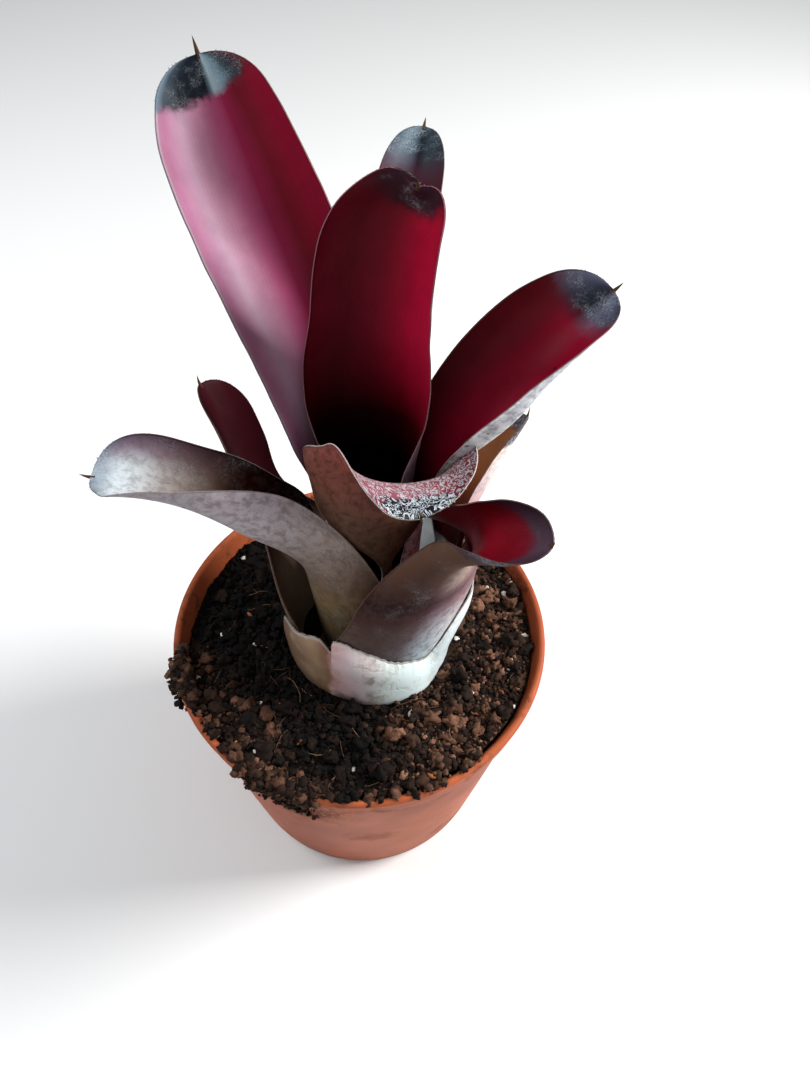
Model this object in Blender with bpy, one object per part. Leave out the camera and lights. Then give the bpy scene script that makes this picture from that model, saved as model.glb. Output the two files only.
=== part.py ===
"""A young neoregelia bromeliad growing in its round plastic pot.

Lengths are in metres and angles in degrees. +Z is up and the origin is the centre of the
pot's underside. The plant leans towards +Y, the back, and -Y is its front.

The plant is a tube of overlapping leaf sheaths round a short stem, leaning back a little.
Each leaf starts as a wrapped sheath, a strip of a slightly flared cone about the plant's
axis, and turns into a free channelled blade with a rounded end and a small spine. The
sheaths lie in layers, the oldest leaf outermost, so that no two of them cross.
"""

import math
from dataclasses import dataclass

import bmesh
import bpy
import numpy as np
from mathutils import Matrix, Vector, noise

GAP = 0.0003

# Pot, a turned shell with a collar below its rim and drain holes in its floor
POT_HEIGHT = 0.095
POT_RIM_RADIUS = 0.060
POT_NECK_RADIUS = 0.0572
POT_BASE_RADIUS = 0.046
POT_COLLAR_DEPTH = 0.0105
POT_WALL = 0.0018
POT_FLOOR = 0.0025
POT_EDGE_ROUND = 0.0009
POT_SIDES = 64
DRAIN_HOLES = 5
DRAIN_RADIUS = 0.004
DRAIN_CIRCLE = 0.027
DRAIN_SIDES = 14
DRAIN_TURN = 20.0

# Soil, level with the rim in front and lower behind on the left
SOIL_LEVEL = 0.0905
SOIL_RISE_IN_FRONT = 0.0035
SOIL_DIP_BEHIND_LEFT = 0.0035
SOIL_BUMP = 0.0011
SOIL_BUMP_SIZE = 0.014
SOIL_RINGS = 12
SOIL_PIT_RADIUS = 0.0268
SOIL_PIT_DEPTH = 0.0098

# Plant axis, leaning back from the vertical about the foot of the tube
PLANT_FOOT = Vector((0.004, 0.0, 0.088))
PLANT_LEAN = 14.0

# Stem, a blunt cone whose flank carries one leaf base above another
STEM_RADIUS = 0.0228
STEM_FOOT_DEPTH = 0.0094
STEM_TOP_RADIUS = 0.0055
STEM_SIDES = 40

# Sheath layers, counted inwards from the outermost leaf
LAYER_OUTER_RADIUS = 0.0226
LAYER_PITCH = 0.0018
LAYER_STEP_UP = 0.0009

# Leaf section
LEAF_MID_THICKNESS = 0.0013
LEAF_TIP_THICKNESS = 0.00095
LEAF_EDGE_THICKNESS = 0.00065
TIP_HALF_WIDTH = 0.0008
SPINE_HALF_WIDTH = 0.00035
SPINE_THICKNESS = 0.0006
SPINE_ROWS = 3
LEAF_ROWS = 22
LEAF_COLUMNS = 8
MIDRIB_STEPS = 160
TIP_CROWDING = 1.25
TIP_BLUNTNESS = 2.2

# Old sheath, a torn collar round the front and right of the tube
COLLAR_FOOT_RADIUS = 0.0238
COLLAR_START = 200.0
COLLAR_END = 352.0
COLLAR_FOOT_DEPTH = 0.0055
COLLAR_HEIGHT_LEFT = 0.0185
COLLAR_HEIGHT_FRONT = 0.0105
COLLAR_HEIGHT_RIGHT = 0.031
COLLAR_TEAR_AT = 238.0
COLLAR_TEAR_WIDTH = 5.0
COLLAR_TEAR_DEPTH = 0.0045
COLLAR_THICKNESS = 0.0012
COLLAR_SPACE = 0.0004
COLLAR_COLUMNS = 44
COLLAR_ROWS = 7


@dataclass(frozen=True)
class Leaf:
    """Driving dimensions of one leaf, angles measured in the leaning plant's own frame.

    azimuth is the side that the leaf grows to, 0 on +X and 90 on +Y. flare is the sheath's
    angle to the plant axis. leans are the midrib's angles to that axis at the fractions of
    the length given in lean_at. drift and tip_drift turn the blade sideways, and twist turns
    its section about the midrib. wrap is half the angle that the sheath takes at its foot.
    Half widths follow the blade's surface, and channel radii are those of its section. A
    skew adds that share of the width on the anticlockwise side and takes it off the other.
    """

    name: str
    layer: int
    azimuth: float
    length: float
    flare: float
    leans: tuple
    sheath_end: float
    neck_half_width: float
    blade_half_width: float
    neck_channel: float
    tip_channel: float
    wrap: float
    sheath_skew: float = 0.0
    blade_skew: float = 0.0
    drift: float = 0.0
    tip_drift: float = 0.0
    twist: float = 0.0
    neck_at: float = 0.50
    widest_at: float = 0.74
    rounding_from: float = 0.80
    lean_at: tuple = (0.45, 0.72, 1.0)
    spine: float = 0.004
    colour: tuple = (0.16, 0.01, 0.03, 1.0)


LEAVES = (
    Leaf("leaf_left_back_short", layer=0, azimuth=159, length=0.089, flare=15,
         leans=(27, 17.5, 28.5), sheath_end=0.33, neck_half_width=0.0109,
         blade_half_width=0.0111, neck_channel=0.0107, tip_channel=0.0123, wrap=71, drift=1,
         tip_drift=2, twist=3.5, neck_at=0.53, rounding_from=0.83, colour=(0.09, 0.012, 0.02, 1.0)),
    Leaf("leaf_right_front_short", layer=1, azimuth=-40, length=0.107, flare=17,
         leans=(14, 46, 47.5), sheath_end=0.38, sheath_skew=-0.13, neck_half_width=0.0172,
         blade_half_width=0.0154, neck_channel=0.0069, tip_channel=0.0075, wrap=91,
         drift=-11.5, tip_drift=-5.5, twist=33, neck_at=0.69, widest_at=0.82,
         rounding_from=0.78, colour=(0.20, 0.01, 0.03, 1.0)),
    Leaf("leaf_right_back_short", layer=2, azimuth=20, length=0.0805, flare=13,
         leans=(15, 29.5, 30.5), sheath_end=0.32, neck_half_width=0.0112,
         blade_half_width=0.0120, neck_channel=0.0093, tip_channel=0.0141, wrap=56, drift=0.5,
         tip_drift=3, twist=-20, neck_at=0.52, colour=(0.28, 0.11, 0.07, 1.0)),
    Leaf("leaf_back_narrow", layer=3, azimuth=86, length=0.162, flare=11,
         leans=(28.5, 47.5, 58), sheath_end=0.22, neck_half_width=0.0095,
         blade_half_width=0.0116, neck_channel=0.0129, tip_channel=0.0145, wrap=72, drift=1,
         tip_drift=-7, twist=2.5, neck_at=0.45, rounding_from=0.81, colour=(0.17, 0.02, 0.05, 1.0)),
    Leaf("leaf_left_spreading", layer=4, azimuth=219, length=0.104, flare=9.5,
         leans=(38, 51, 88), sheath_end=0.30, neck_half_width=0.0209, blade_half_width=0.0161,
         neck_channel=0.0090, tip_channel=0.0129, wrap=87, drift=-17.5, tip_drift=-22,
         twist=-20.5, neck_at=0.65, widest_at=0.80, rounding_from=0.82,
         colour=(0.33, 0.27, 0.27, 1.0)),
    Leaf("leaf_front_recurved", layer=5, azimuth=291, length=0.088, flare=6, blade_skew=-0.12,
         leans=(5.5, 22, 62, 108), lean_at=(0.55, 0.72, 0.88, 1.0), sheath_end=0.18,
         neck_half_width=0.0084, blade_half_width=0.0225, neck_channel=0.0162,
         tip_channel=0.0217, wrap=78, drift=-5.5, tip_drift=14, twist=-12, neck_at=0.555,
         widest_at=0.64, rounding_from=0.845, spine=0.0025, colour=(0.27, 0.10, 0.09, 1.0)),
    Leaf("leaf_right_long", layer=6, azimuth=20, length=0.1335, flare=2.5,
         leans=(9.5, 38, 58), sheath_end=0.38, neck_half_width=0.0115,
         blade_half_width=0.0165, neck_channel=0.0129, tip_channel=0.0122, wrap=78, drift=-13,
         tip_drift=10, twist=30, neck_at=0.495, widest_at=0.78, colour=(0.17, 0.01, 0.03, 1.0)),
    Leaf("leaf_left_back_long", layer=7, azimuth=125, length=0.171, flare=2,
         leans=(8.5, 33.5, 30), sheath_end=0.22, neck_half_width=0.0166,
         blade_half_width=0.0219, neck_channel=0.0213, tip_channel=0.0159, wrap=80, drift=11.5,
         tip_drift=-10, twist=-25.5, neck_at=0.415, spine=0.005, colour=(0.26, 0.06, 0.12, 1.0)),
    Leaf("leaf_centre_back", layer=8, azimuth=78, length=0.1445, flare=2, leans=(-3, -3, -17),
         sheath_end=0.34, neck_half_width=0.0195, blade_half_width=0.0211, neck_channel=0.0208,
         tip_channel=0.0151, wrap=80, tip_drift=-10, twist=-15, neck_at=0.37,
         rounding_from=0.81, spine=0.003, colour=(0.20, 0.01, 0.04, 1.0)),
)


def ease(amount):
    """Smooth step from 0 to 1."""
    amount = np.clip(amount, 0.0, 1.0)
    return amount * amount * (3.0 - 2.0 * amount)


def curve_through(knots, values, where):
    """Smooth curve through values at knots, read at the points in where."""
    knots = np.asarray(knots, float)
    values = np.asarray(values, float)
    slopes = np.gradient(values, knots)
    left = np.clip(np.searchsorted(knots, where) - 1, 0, len(knots) - 2)
    step = knots[left + 1] - knots[left]
    t = np.clip((where - knots[left]) / step, 0.0, 1.0)
    start = values[left] * (2 * t**3 - 3 * t**2 + 1) + slopes[left] * step * (t**3 - 2 * t**2 + t)
    end = values[left + 1] * (3 * t**2 - 2 * t**3) + slopes[left + 1] * step * (t**3 - t**2)
    return start + end


def unit(vectors):
    """Vectors scaled to length 1 along their last axis."""
    return vectors / np.linalg.norm(vectors, axis=-1, keepdims=True)


def plant_matrix():
    """Placement of the leaning plant frame, whose origin is the foot of the tube."""
    return Matrix.Translation(PLANT_FOOT) @ Matrix.Rotation(math.radians(-PLANT_LEAN), 4, "X")


def midrib(leaf, fractions):
    """Midrib points and directions of a leaf in the plant frame, with the section's axes."""
    fine = np.linspace(0.0, 1.0, MIDRIB_STEPS + 1)
    straight = leaf.sheath_end * 0.6
    knots = (0.0, straight, *leaf.lean_at)
    lean = np.radians(curve_through(knots, (leaf.flare, leaf.flare, *leaf.leans), fine))
    lean = np.where(fine < straight, math.radians(leaf.flare), lean)
    drift = (math.radians(leaf.drift) * ease((fine - 0.12) / 0.3)
             + math.radians(leaf.tip_drift) * ease((fine - 0.45) / 0.55))
    azimuth = math.radians(leaf.azimuth)
    outward = np.array([math.cos(azimuth), math.sin(azimuth), 0.0])
    around = np.array([-math.sin(azimuth), math.cos(azimuth), 0.0])
    upward = np.array([0.0, 0.0, 1.0])
    along = unit(np.sin(lean)[:, None] * outward + np.tan(drift)[:, None] * around
                 + np.cos(lean)[:, None] * upward)
    run = (along[1:] + along[:-1]) / 2 * (leaf.length / MIDRIB_STEPS)
    start = sheath_radius(leaf) * outward + leaf.layer * LAYER_STEP_UP * upward
    points = np.concatenate([start[None], start + np.cumsum(run, axis=0)])

    def sample(track):
        return np.stack([np.interp(fractions, fine, track[:, axis]) for axis in range(3)], axis=-1)

    along = unit(sample(along))
    across = unit(around - (along @ around)[:, None] * along)
    inward = np.cross(along, across)
    turn = (math.radians(leaf.twist) * ease((fractions - 0.2) / 0.8))[:, None]
    turned_across = np.cos(turn) * across + np.sin(turn) * inward
    turned_inward = np.cos(turn) * inward - np.sin(turn) * across
    return sample(points), turned_across, turned_inward


def sheath_radius(leaf):
    """Radius of a leaf's sheath at its foot."""
    return LAYER_OUTER_RADIUS - leaf.layer * LAYER_PITCH


def half_widths(leaf, fractions):
    """Half width of the leaf along its surface at each fraction of its length."""
    flare = math.radians(leaf.flare)
    wrap = math.radians(leaf.wrap)
    foot = wrap * sheath_radius(leaf)
    middle = wrap * (sheath_radius(leaf) + 0.5 * leaf.sheath_end * leaf.length * math.sin(flare))
    knots = (0.0, 0.5 * leaf.sheath_end, leaf.sheath_end, leaf.neck_at, leaf.widest_at, 1.0)
    widths = (foot, middle, 0.55 * middle + 0.45 * leaf.neck_half_width,
              leaf.neck_half_width, leaf.blade_half_width, 0.97 * leaf.blade_half_width)
    into_tip = np.clip((fractions - leaf.rounding_from) / (1.0 - leaf.rounding_from), 0.0, 1.0)
    rounding = np.sqrt(np.clip(1.0 - into_tip**TIP_BLUNTNESS, 0.0, 1.0))
    return curve_through(knots, widths, fractions) * rounding


def skewed_sides(leaf, fractions, sides):
    """Places across the leaf, -1 to 1 before its skew, for each row and column."""
    into_blade = ease((fractions - 0.8 * leaf.neck_at) / (leaf.widest_at - 0.8 * leaf.neck_at))
    skew = leaf.sheath_skew + (leaf.blade_skew - leaf.sheath_skew) * into_blade
    return sides[None, :] * (1.0 + skew[:, None] * np.sign(sides)[None, :])


def leaf_surface(leaf, fractions, sides, widths):
    """Middle surface of a leaf and its inward normals, in the plant frame.

    fractions runs along the length and sides from -1 to 1 across it. The sheath is a strip
    of a cone about the plant axis, and it blends into a blade bent round its midrib.
    """
    centre, across, inward = midrib(leaf, fractions)
    flare = math.radians(leaf.flare)
    climb = fractions * leaf.length * math.cos(flare)
    height = leaf.layer * LAYER_STEP_UP + climb
    radius = sheath_radius(leaf) + climb * math.tan(flare)
    blade = ease((fractions - 0.6 * leaf.sheath_end) / (1.4 * leaf.sheath_end))
    channel = leaf.neck_channel + (leaf.tip_channel - leaf.neck_channel) * ease((fractions - 0.5) / 0.5)
    bend = 1.0 / ((1.0 - blade) * math.cos(flare) / radius + blade / channel)
    skew = skewed_sides(leaf, fractions, sides)
    angle = skew * (widths / bend)[:, None]
    offset = bend[:, None] * np.sin(angle)
    rise = bend[:, None] * (1.0 - np.cos(angle))
    on_blade = centre[:, None] + offset[..., None] * across[:, None] + rise[..., None] * inward[:, None]
    blade_normal = (np.cos(angle)[..., None] * inward[:, None]
                    - np.sin(angle)[..., None] * across[:, None])
    heading = math.radians(leaf.azimuth) + skew * (widths / radius)[:, None]
    on_cone = np.stack([radius[:, None] * np.cos(heading), radius[:, None] * np.sin(heading),
                        np.broadcast_to(height[:, None], heading.shape)], axis=-1)
    cone_normal = np.stack([-np.cos(heading) * math.cos(flare), -np.sin(heading) * math.cos(flare),
                            np.full(heading.shape, math.sin(flare))], axis=-1)
    share = blade[:, None, None]
    return (1 - share) * on_cone + share * on_blade, unit((1 - share) * cone_normal + share * blade_normal)


def leaf_rows():
    """Fractions of the length at which a leaf has a row of points, closest at the tip."""
    return 1.0 - (1.0 - np.linspace(0.0, 1.0, LEAF_ROWS + 1)) ** TIP_CROWDING


def leaf_skins(leaf):
    """Inner and outer grids of points of a leaf, spine included, in the plant frame."""
    fractions = leaf_rows()
    sides = np.linspace(-1.0, 1.0, LEAF_COLUMNS + 1)
    widths = np.maximum(half_widths(leaf, fractions), TIP_HALF_WIDTH)
    middle, normal = leaf_surface(leaf, fractions, sides, widths)
    rib = LEAF_MID_THICKNESS + (LEAF_TIP_THICKNESS - LEAF_MID_THICKNESS) * ease(fractions)
    thickness = LEAF_EDGE_THICKNESS + (rib - LEAF_EDGE_THICKNESS)[:, None] * (1.0 - sides**4)[None, :]
    thickness[-1] = LEAF_TIP_THICKNESS
    last_run = middle[-1, LEAF_COLUMNS // 2] - middle[-2, LEAF_COLUMNS // 2]
    spine_axis = last_run / np.linalg.norm(last_run)
    spine_across = unit(middle[-1, -1] - middle[-1, 0])
    for row in range(1, SPINE_ROWS + 1):
        share = row / SPINE_ROWS
        half = TIP_HALF_WIDTH + (SPINE_HALF_WIDTH - TIP_HALF_WIDTH) * share
        centre = middle[LEAF_ROWS, LEAF_COLUMNS // 2] + spine_axis * leaf.spine * share
        line = centre + (sides * half)[:, None] * spine_across
        middle = np.concatenate([middle, line[None]])
        normal = np.concatenate([normal, normal[-1:]])
        deep = LEAF_TIP_THICKNESS + (SPINE_THICKNESS - LEAF_TIP_THICKNESS) * share
        thickness = np.concatenate([thickness, np.full((1, LEAF_COLUMNS + 1), deep)])
    half = (thickness / 2)[..., None] * normal
    return middle + half, middle - half


def closed_skin(name, inner, outer, matrix):
    """Object whose closed mesh joins two grids of points that face away from each other.

    Both grids are split into triangles along the same diagonals.
    """
    rows, columns = inner.shape[:2]
    shell = bmesh.new()
    grids = [[[shell.verts.new(matrix @ Vector(point)) for point in line] for line in grid]
             for grid in (inner, outer)]
    front, back = grids
    for row in range(rows - 1):
        for column in range(columns - 1):
            corners = ((row, column), (row, column + 1), (row + 1, column + 1), (row + 1, column))
            for pick in ((0, 1, 2), (0, 2, 3)):
                shell.faces.new([front[corners[i][0]][corners[i][1]] for i in pick])
                shell.faces.new([back[corners[i][0]][corners[i][1]] for i in reversed(pick)])
    rim = ([(row, 0) for row in range(rows - 1)] + [(rows - 1, column) for column in range(columns - 1)]
           + [(row, columns - 1) for row in range(rows - 1, 0, -1)]
           + [(0, column) for column in range(columns - 1, 0, -1)])
    for (row, column), (next_row, next_column) in zip(rim, rim[1:] + rim[:1]):
        a, b = front[row][column], front[next_row][next_column]
        c, d = back[next_row][next_column], back[row][column]
        shell.faces.new((a, b, c))
        shell.faces.new((a, c, d))
    bmesh.ops.recalc_face_normals(shell, faces=shell.faces)
    return object_from(name, shell)


def object_from(name, shell):
    """Scene object that takes over a bmesh, shaded smooth."""
    mesh = bpy.data.meshes.new(name)
    shell.to_mesh(mesh)
    shell.free()
    mesh.shade_smooth()
    mesh.set_sharp_from_angle(angle=math.radians(50))
    result = bpy.data.objects.new(name, mesh)
    bpy.context.scene.collection.objects.link(result)
    return result


def give_material(target, colour, roughness):
    """Plain material of the piece's own."""
    material = bpy.data.materials.new(f"{target.name}_material")
    material.use_nodes = True
    shader = material.node_tree.nodes["Principled BSDF"]
    shader.inputs["Base Color"].default_value = colour
    shader.inputs["Roughness"].default_value = roughness
    shader.inputs["Metallic"].default_value = 0.0
    target.data.materials.append(material)


def turned(name, profile, sides, matrix=Matrix.Identity(4)):
    """Closed solid of revolution about Z from (radius, height) points, axis to axis."""
    shell = bmesh.new()
    rings = []
    for radius, height in profile:
        if radius == 0.0:
            rings.append([shell.verts.new(matrix @ Vector((0.0, 0.0, height)))])
            continue
        turn = [2 * math.pi * side / sides for side in range(sides)]
        rings.append([shell.verts.new(matrix @ Vector((radius * math.cos(a), radius * math.sin(a), height)))
                      for a in turn])
    for lower, upper in zip(rings, rings[1:]):
        for side in range(sides):
            following = (side + 1) % sides
            corners = [lower[side % len(lower)], lower[following % len(lower)],
                       upper[following % len(upper)], upper[side % len(upper)]]
            shell.faces.new(list(dict.fromkeys(corners)))
    bmesh.ops.recalc_face_normals(shell, faces=shell.faces)
    return object_from(name, shell)


def cut_away(target, cutter):
    """Boolean difference that leaves the cutter as a hidden guide."""
    cutter.hide_render = True
    cutter.display_type = "WIRE"
    cut = target.modifiers.new(cutter.name, "BOOLEAN")
    cut.operation = "DIFFERENCE"
    cut.object = cutter


def inner_wall_radius(height):
    """Radius of the pot's inner wall at a height."""
    neck_height = POT_HEIGHT - POT_COLLAR_DEPTH
    share = height / neck_height
    return POT_BASE_RADIUS + (POT_NECK_RADIUS - POT_BASE_RADIUS) * share - POT_WALL


def make_pot():
    """Pot shell with a collar under the rim and a ring of drain holes."""
    neck_height = POT_HEIGHT - POT_COLLAR_DEPTH
    collar_radius = POT_RIM_RADIUS - POT_EDGE_ROUND
    inner_top = inner_wall_radius(POT_HEIGHT)
    profile = [
        (0.0, 0.0),
        (POT_BASE_RADIUS - POT_EDGE_ROUND, 0.0),
        (POT_BASE_RADIUS, POT_EDGE_ROUND),
        (POT_NECK_RADIUS, neck_height - POT_EDGE_ROUND),
        (collar_radius - POT_EDGE_ROUND / 2, neck_height),
        (collar_radius, neck_height + POT_EDGE_ROUND),
        (POT_RIM_RADIUS, POT_HEIGHT - POT_EDGE_ROUND),
        (POT_RIM_RADIUS - POT_EDGE_ROUND, POT_HEIGHT),
        (inner_top + POT_EDGE_ROUND, POT_HEIGHT),
        (inner_top, POT_HEIGHT - POT_EDGE_ROUND),
        (inner_wall_radius(POT_FLOOR), POT_FLOOR),
        (0.0, POT_FLOOR),
    ]
    pot = turned("pot", profile, POT_SIDES)
    for hole in range(DRAIN_HOLES):
        angle = 2 * math.pi * hole / DRAIN_HOLES + math.radians(DRAIN_TURN)
        place = Matrix.Rotation(angle, 4, "Z") @ Matrix.Translation((DRAIN_CIRCLE, 0.0, 0.0))
        reach = POT_FLOOR * 2
        cutter = turned(f"drain_cutter_{hole}", [(0.0, -reach), (DRAIN_RADIUS, -reach),
                                                 (DRAIN_RADIUS, reach), (0.0, reach)], DRAIN_SIDES, place)
        cut_away(pot, cutter)
    give_material(pot, (0.42, 0.13, 0.06, 1.0), 0.55)
    return pot


def soil_height(x, y):
    """Height of the soil's surface above the ground at a place in the pot."""
    forward = -y / POT_RIM_RADIUS
    behind_left = (y - x) / (math.sqrt(2) * POT_RIM_RADIUS)
    bump = noise.noise(Vector((x, y, 0.0)) / SOIL_BUMP_SIZE)
    return (SOIL_LEVEL + SOIL_RISE_IN_FRONT * float(ease(forward))
            - SOIL_DIP_BEHIND_LEFT * float(ease(behind_left)) + SOIL_BUMP * bump)


def make_soil():
    """Soil that fills the pot, with a pit for the plant's foot."""
    shell = bmesh.new()
    floor = POT_FLOOR + GAP
    directions = [2 * math.pi * side / POT_SIDES for side in range(POT_SIDES)]

    def ring(radius, height_at):
        return [shell.verts.new((radius * math.cos(a), radius * math.sin(a),
                                 height_at(radius * math.cos(a), radius * math.sin(a))))
                for a in directions]

    def edge_height(x, y):
        return min(soil_height(x, y), POT_HEIGHT - 2 * POT_EDGE_ROUND)

    top_radius = inner_wall_radius(SOIL_LEVEL - SOIL_DIP_BEHIND_LEFT) - GAP
    rings = [ring(inner_wall_radius(floor) - GAP, lambda x, y: floor)]
    rings.append(ring(top_radius, edge_height))
    rings += [ring(top_radius * (1 - step / SOIL_RINGS), soil_height) for step in range(1, SOIL_RINGS)]
    for lower, upper in zip(rings, rings[1:]):
        for side in range(POT_SIDES):
            following = (side + 1) % POT_SIDES
            shell.faces.new((lower[side], lower[following], upper[following]))
            shell.faces.new((lower[side], upper[following], upper[side]))
    bottom = shell.verts.new((0.0, 0.0, floor))
    crown = shell.verts.new((0.0, 0.0, soil_height(0.0, 0.0)))
    for side in range(POT_SIDES):
        following = (side + 1) % POT_SIDES
        shell.faces.new((rings[0][following], rings[0][side], bottom))
        shell.faces.new((rings[-1][side], rings[-1][following], crown))
    bmesh.ops.recalc_face_normals(shell, faces=shell.faces)
    soil = object_from("soil", shell)
    pit_top = POT_HEIGHT
    pit = turned("pit_cutter", [(0.0, -SOIL_PIT_DEPTH), (SOIL_PIT_RADIUS, -SOIL_PIT_DEPTH),
                                (SOIL_PIT_RADIUS, pit_top), (0.0, pit_top)], STEM_SIDES, plant_matrix())
    cut_away(soil, pit)
    give_material(soil, (0.035, 0.02, 0.014, 1.0), 0.95)
    return soil


def make_stem():
    """Short stem under the tube, sloping up inwards beneath the leaf bases."""
    slope = LAYER_STEP_UP / LAYER_PITCH
    below = 0.0008

    def flank(radius):
        return (LAYER_OUTER_RADIUS - radius) * slope - below

    profile = [(0.0, -STEM_FOOT_DEPTH), (STEM_RADIUS, -STEM_FOOT_DEPTH), (STEM_RADIUS, flank(STEM_RADIUS)),
               (STEM_TOP_RADIUS, flank(STEM_TOP_RADIUS)), (0.0, flank(STEM_TOP_RADIUS))]
    stem = turned("stem", profile, STEM_SIDES, plant_matrix())
    give_material(stem, (0.16, 0.12, 0.07, 1.0), 0.8)
    return stem


def collar_height(angle):
    """Height of the old sheath's torn upper edge above the tube's foot at an angle."""
    to_front = float(ease((angle - COLLAR_START) / 90.0))
    to_right = float(ease((angle - 305.0) / 40.0))
    height = COLLAR_HEIGHT_LEFT + (COLLAR_HEIGHT_FRONT - COLLAR_HEIGHT_LEFT) * to_front
    height += (COLLAR_HEIGHT_RIGHT - COLLAR_HEIGHT_FRONT) * to_right
    tear = math.exp(-((angle - COLLAR_TEAR_AT) / COLLAR_TEAR_WIDTH) ** 2)
    return height - COLLAR_TEAR_DEPTH * tear


def wrapped_radius(leaf, height):
    """Radius of a leaf's sheath, outer face included, at a height above the tube's foot."""
    rise = height - leaf.layer * LAYER_STEP_UP
    return sheath_radius(leaf) + rise * math.tan(math.radians(leaf.flare)) + LEAF_MID_THICKNESS / 2


def collar_edge_radius(angle, height):
    """Radius of the old sheath's upper edge, close round the two leaves inside it."""
    left, right = LEAVES[0], LEAVES[1]
    over_left = 1.0 - float(ease((angle - left.azimuth - left.wrap - 3.0) / 14.0))
    hug = wrapped_radius(right, height)
    hug += (wrapped_radius(left, height) - hug) * over_left
    return hug + COLLAR_THICKNESS / 2 + COLLAR_SPACE


def make_old_sheath():
    """Stump of the oldest leaf, a torn collar hugging the front and right of the tube."""
    inner, outer = [], []
    for row in range(COLLAR_ROWS + 1):
        share = row / COLLAR_ROWS
        inner_line, outer_line = [], []
        for column in range(COLLAR_COLUMNS + 1):
            angle = COLLAR_START + (COLLAR_END - COLLAR_START) * column / COLLAR_COLUMNS
            top = collar_height(angle)
            height = share * (top + COLLAR_FOOT_DEPTH) - COLLAR_FOOT_DEPTH
            bulge = float(ease(height / top))
            radius = COLLAR_FOOT_RADIUS + (collar_edge_radius(angle, top) - COLLAR_FOOT_RADIUS) * bulge
            radius = max(radius, collar_edge_radius(angle, max(height, 0.0)))
            direction = Vector((math.cos(math.radians(angle)), math.sin(math.radians(angle)), 0.0))
            half = COLLAR_THICKNESS / 2 * (1.0 - 0.45 * share**3)
            inner_line.append(direction * (radius - half) + Vector((0, 0, height)))
            outer_line.append(direction * (radius + half) + Vector((0, 0, height)))
        inner.append(inner_line)
        outer.append(outer_line)
    collar = closed_skin("old_sheath", np.array(inner), np.array(outer), plant_matrix())
    give_material(collar, (0.55, 0.47, 0.44, 1.0), 0.6)
    return collar


def make_leaf(leaf):
    """One leaf as a closed thin solid, sheath, blade and spine together."""
    inner, outer = leaf_skins(leaf)
    result = closed_skin(leaf.name, inner, outer, plant_matrix())
    give_material(result, leaf.colour, 0.4)
    return result


def main():
    """Clear the scene and build every piece."""
    for leftover in list(bpy.data.objects):
        bpy.data.objects.remove(leftover, do_unlink=True)
    make_pot()
    make_soil()
    make_stem()
    make_old_sheath()
    for leaf in LEAVES:
        make_leaf(leaf)


main()
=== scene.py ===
"""Finished look of a young neoregelia bromeliad growing in its round plastic pot.

Lengths are in metres and angles in degrees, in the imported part's own frame: +Z is up, the
origin is the centre of the pot's underside, and -Y is the front.

The leaves repeat the driving dimensions of the solids that they stand for, with many more
points, thin margins, small teeth, a spine and a gentle waviness. The soil gets its crumbs,
perlite, bark and fibres, and the pot its rolled lip, scuffs and stains.
"""

from __future__ import annotations

import logging
import math
import random
from dataclasses import dataclass, field
from enum import Enum

import bpy
import numpy as np
from mathutils import Matrix, Vector, noise

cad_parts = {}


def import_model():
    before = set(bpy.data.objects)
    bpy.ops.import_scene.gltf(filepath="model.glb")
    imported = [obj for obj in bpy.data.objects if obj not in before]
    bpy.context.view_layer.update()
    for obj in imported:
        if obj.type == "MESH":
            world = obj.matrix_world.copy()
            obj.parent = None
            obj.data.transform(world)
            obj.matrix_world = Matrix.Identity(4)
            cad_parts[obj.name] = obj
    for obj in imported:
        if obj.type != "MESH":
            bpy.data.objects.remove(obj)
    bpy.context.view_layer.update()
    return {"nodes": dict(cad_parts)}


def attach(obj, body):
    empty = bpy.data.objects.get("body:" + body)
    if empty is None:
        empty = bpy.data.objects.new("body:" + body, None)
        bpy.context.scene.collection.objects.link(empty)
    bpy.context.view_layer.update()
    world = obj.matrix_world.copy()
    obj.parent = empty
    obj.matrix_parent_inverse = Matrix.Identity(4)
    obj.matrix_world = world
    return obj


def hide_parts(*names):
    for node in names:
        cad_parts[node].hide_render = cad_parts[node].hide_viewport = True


LOG = logging.getLogger("bromeliad")
BODY = "root"

# Camera of the picture, in front of the pot and looking down on it
CAMERA_PLACE = Vector((0.0134, -0.1517, 0.3463))
CAMERA_PITCH = 53.3
CAMERA_ROLL = 2.2
CAMERA_LENS_MM = 30.0
CAMERA_SENSOR_MM = 36.0

# Plant axis, leaning back from the vertical about the foot of the tube
PLANT_FOOT = Vector((0.004, 0.0, 0.088))
PLANT_LEAN = 14.0

# Sheath layers, counted inwards from the outermost leaf
LAYER_OUTER_RADIUS = 0.0226
LAYER_PITCH = 0.0018
LAYER_STEP_UP = 0.0009
SHEATH_HALF_THICKNESS = 0.00065
MIDRIB_STEPS = 160

# Fraction of a leaf's length kept on its spine, which has its own colour
BEYOND_TIP = 1.06

# Row of colour stops that leaves a colour as it is
WHITE = ((0.0, "ffffff"), (1.0, "ffffff"))


def tone(code: str) -> tuple[float, float, float, float]:
    """Linear colour of a six-digit web colour code.

    Args:
        code: Red, green and blue as hexadecimal digits.

    Returns:
        Linear red, green, blue and an alpha of 1.
    """
    parts = [int(code[place:place + 2], 16) / 255.0 for place in (0, 2, 4)]
    linear = [part / 12.92 if part <= 0.04045 else ((part + 0.055) / 1.055) ** 2.4 for part in parts]
    return (linear[0], linear[1], linear[2], 1.0)


def ease(amount: np.ndarray | float) -> np.ndarray:
    """Smooth step from 0 to 1."""
    amount = np.clip(amount, 0.0, 1.0)
    return amount * amount * (3.0 - 2.0 * amount)


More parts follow.
